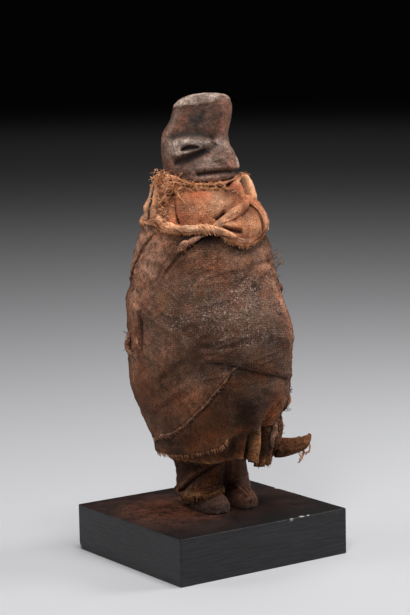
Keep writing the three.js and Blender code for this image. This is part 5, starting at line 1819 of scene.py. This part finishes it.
# %% [markdown]
# At the figure's right the scarf is torn to threads: a nest of curly strands over dark holes, that
# runs from the jaw down to the roll. Twisted yarn is bound round the neck and lies along the top
# of the chest, and a few strands tie the two rolls together.

# %% Tatters, strands and neck yarn
CORDS = [  # torn strips, rolled to cords
    [(-130, 26, 214.5), (-118, 27.5, 216), (-106, 27, 216), (-97, 25.5, 214.6), (-90, 24, 211.6),
     (-84, 23.5, 209)],
    [(-122, 30, 209), (-112, 31, 211.6), (-104, 30, 213), (-97, 28, 211.4), (-92, 27.5, 207.5)],
    [(-103, 32.5, 207), (-98, 33, 203.5), (-94, 33.5, 199), (-95, 35, 194.5), (-91, 37, 190)],
    [(-112, 33, 204), (-105, 34.2, 200), (-101, 35.5, 195), (-97, 37.4, 190)],
    [(-99, 29.5, 208.5), (-91, 28, 207.4), (-84, 25.5, 208.8), (-76, 24, 209.6)],
]
NESTS = [  # spread in mm, count, seed, thinnest and thickest, size, line
    ((1.6, 1.6, 1.3), 110, 175, (0.16, 0.3), 2.6,
     [(-124, 28, 213), (-112, 29, 214), (-102, 28.5, 213), (-94, 27.5, 210), (-88, 27, 207.5)]),
    ((1.2, 1.2, 2), 90, 176, (0.16, 0.3), 2,
     [(-104, 31.5, 209), (-99, 33, 203), (-97, 34.5, 197), (-94, 37, 191), (-90, 38.5, 188)]),
    ((0.8, 0.8, 0.6), 22, 177, (0.16, 0.3), 1.4, [(10, 27.5, 214.6), (14, 28.2, 215.2), (20, 28.6, 215)]),
    ((1, 1, 0.7), 110, 178, (0.12, 0.26), 1.8,
     [(-96, 27.6, 203.4), (-80, 25, 206.8), (-60, 23.6, 207.8), (-35, 24.2, 207.8), (-15, 27.2, 206.8),
      (-3, 32.5, 201.4)]),
    ((0.9, 0.9, 0.6), 70, 180, (0.14, 0.26), 1.6, [(-92, 23, 213), (-60, 21.4, 210.6), (-20, 23, 211.6)]),
    ((0.7, 0.7, 0.7), 26, 179, (0.14, 0.26), 1.5, [(-12, 29, 205.5), (-4, 33, 202.5), (2, 35.5, 200.5)]),
]
STRANDS = [  # radius, line
    (0.34, [(-99, 28, 212), (-88, 30.5, 209), (-79, 32, 204.6), (-69, 34.6, 199), (-62, 37, 193.4)]),
    (0.3, [(-97, 28.5, 211), (-84, 31.5, 206), (-74, 33.4, 201.5), (-66, 35.8, 196), (-60, 38, 191)]),
    (0.36, [(-112, 31.6, 211), (-103, 31.8, 210.2), (-97, 30, 210.8), (-93, 28, 213)]),
    (0.42, [(-58, 40.4, 187.4), (-55, 42.2, 186.4), (-52, 42.9, 184), (-49, 42.6, 180.4)]),
    (0.42, [(-55, 40.6, 187.6), (-52, 42.5, 186.4), (-49, 43.2, 184), (-46, 43, 180.6)]),
    (0.36, [(-50, 41, 188), (-47, 43, 186), (-44, 43.8, 183), (-42, 43.6, 180.4)]),
]
BELOW_ROLL = [(-100, 187), (-94, 184.2), (-87, 182.8), (-78, 182), (-66, 181.8), (-55, 182.2), (-48, 182)]
CHEST_YARN = [
    (-102, 29, 202), (-96, 28, 203.4), (-89, 26.4, 205.4), (-79, 24.6, 207), (-67, 23.6, 207.8),
    (-51, 23.2, 208.3), (-35, 23.6, 208.2), (-22, 25, 207.4), (-12, 28, 206), (-5, 31.4, 203.2),
    (0, 34.4, 200.4),
]


def strand(line, radius, seed):
    """One thread that wanders a little."""
    line = along_path(line, 30)
    line = line + 0.3 * np.stack([field(line, 4, seed + k) for k in range(3)], axis=-1)
    return tube_shell(line[None], np.full((1, 30), radius), 6)


def nest(line, spread, count, seed, thin, size):
    """Curly threads whose middles are scattered round a line: each coordinate is a sine with its
    own speed and reach, plus a drift."""
    random = np.random.default_rng(seed)
    middle = along_path(line, 60)[random.integers(0, 60, count)] + random.normal(0, 1, (count, 3)) * spread
    phase = random.uniform(0, 2 * math.pi, (count, 3, 1))
    speed = random.uniform(1.5, 5, (count, 3, 1))
    reach = random.uniform(0.35, 1.2, (count, 3, 1)) * size * np.array([1, 1, 0.8])[:, None]
    t = np.linspace(0, 1, 10)
    swirl = (reach * np.sin(speed * t * 2 + phase)).transpose(0, 2, 1)
    paths = middle[:, None] + swirl + random.normal(0, 1.2 * size, (count, 1, 3)) * t[:, None]
    return tube_shell(paths, np.broadcast_to(random.uniform(*thin, (count, 1)), paths.shape[:2]), 4)


def under_roll(direction, height, lift):
    """Points on the upright wall that the fringe under the level roll hangs on."""
    return around(direction, 40.6 + lift, height, *NECK)


def tatters():
    """Rolled strips, and threads: fringes behind and below the roll, nests and strands."""
    radii = [[0, 0.5], [0.3, 1.1], [0.7, 1.0], [1, 0.4]]
    shells = [rolled(at_neck(cord), radii, 171 + k, 0.4, 60, 0.25, 1.5) for k, cord in enumerate(CORDS)]
    made = tell(joined("scarf_knot", shells, orange_cotton, "tan_cloth"))
    behind = [edge_line(SCARF, at, 9, 0) for at in (range(60, 181, 8), range(-180, -110, 8))]
    threads = [fringe(on_bundle, line, 2.4, 0.6, 231, 1.8, 0.18) for line in behind]
    threads.append(fringe(under_roll, BELOW_ROLL, 2.0, 0.34, 163, 1.2, 0.2, 0.35))
    threads += [nest(at_neck(line), *row) for *row, line in NESTS]
    threads += [strand(at_neck(line), radius, 180 + k) for k, (radius, line) in enumerate(STRANDS)]
    return made, tell(joined("scarf_threads", threads, tan_thread, "tan_cloth"))


def neck_yarn():
    """Three turns of two-ply yarn round an oval, each a little higher or lower than the last, and
    a loose one along the top of the chest."""
    turn = np.linspace(-180, 180, 60)
    plies = []
    for k, (grow, height, tilt) in enumerate(((0.2, 205.2, 0.8), (0.9, 206.6, -0.6), (1.9, 205.6, 0.9))):
        height = height + tilt * np.sin(np.radians(turn + 60 * k))
        path = around(turn, oval(turn, 15.6 + grow, 18.6 + grow), height, 0.0, 12.6)
        plies.append(twisted(path, 0.75, 5.0, 220, 0.2 * k))
    plies.append(twisted(at_neck(CHEST_YARN), 0.5, 3.6, 220))
    paths = np.concatenate(plies)
    size = np.array([0.78] * 6 + [0.55] * 2)[:, None] * (1 + 0.16 * uneven(paths, 1.6, 2, 191))
    made = joined("neck_yarn", [tube_shell(paths, size, 7)], raffia, "pale_yarn")
    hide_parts("neck_cord")
    return tell(made)


RAGS = [  # tone, and a line of direction, height and lift: torn bits of the layers
    (0.3, [(37, 145, 0), (36, 143, 0.6), (37, 139, 0)]),
    (1.2, [(-127, 118, 0.5), (-125, 113.5, 2.2), (-129, 109, 2.4), (-123, 104.6, 2), (-117, 101, 0)]),
    (1.2, [(-114, 117, 0), (-112, 112.5, 1.4), (-110, 108, 0)]),
    (0.3, [(30, 75, 0), (31.6, 69, 1.2), (30, 62, 0.4)]),
    (0.3, [(2, 61, 0), (8, 55, 1), (5, 48, 1.2), (11, 40, 0)]),
    (0.3, [(13, 61, 0), (6, 54, 1.4), (13, 47, 1), (8, 38, 0)]),
    (0.3, [(20, 59, 0), (15, 52, 1.2), (20, 44, 0.6), (17, 38, 0)]),
    (0.3, [(26, 60, 0), (24, 52, 1.2), (27, 44, 0.6)]),
    (1.2, [(-52, 180.6, 0.6), (-60, 178, 1.6), (-66, 175.6, 2.2), (-71, 172.4, 2.2), (-76, 168, 0.4)]),
    (1.2, [(-63, 173.6, 0.4), (-66, 176.6, 2.6), (-70, 174, 3.2), (-73, 170.4, 0.6)]),
]
SIDE_NESTS = [  # count, seed, thinnest and thickest, size, line
    (20, 211, (0.08, 0.13), 2.4, [(36, 168, 1), (37, 164, 2.5), (38, 160, 2.5), (36, 156, 1)]),
    (8, 212, (0.1, 0.2), 1.6, [(37, 147, 0.6), (37, 140, 0.6)]),
    (34, 213, (0.12, 0.22), 1.5, [(-126, 117, 1), (-128, 110, 1.4), (-120, 102, 1)]),
    (16, 214, (0.12, 0.22), 1.6, [(31, 76, 0.8), (31, 62, 0.8)]),
    (24, 215, (0.14, 0.24), 2, [(12, 58, 1), (20, 40, 1)]),
    (40, 216, (0.16, 0.28), 1.5, [(-64, 176, 1.4), (-72, 171.6, 2)]),
]


def side_rags():
    """Torn bits of the layers show at both sides: small curled rolls with nests of thread."""
    radii = [[0, 0.5], [0.4, 1.5], [0.7, 1.3], [1, 0.4]]
    shells = [rolled(on_bundle(*np.array(line, float).T), radii, 201 + k, tone, 50, 0.3, 1.2)
              for k, (tone, line) in enumerate(RAGS)]
    tell(joined("side_rags", shells, brown_cotton, "brown_cloth"))
    threads = [nest(on_bundle(*np.array(line, float).T), (0.6, 0.6, 0.8), *row) for *row,
               line in SIDE_NESTS]
    tell(joined("side_threads", threads, brown_thread, "brown_cloth"))


side_rags()
scarf_knot, scarf_threads = tatters()
neck_yarn()
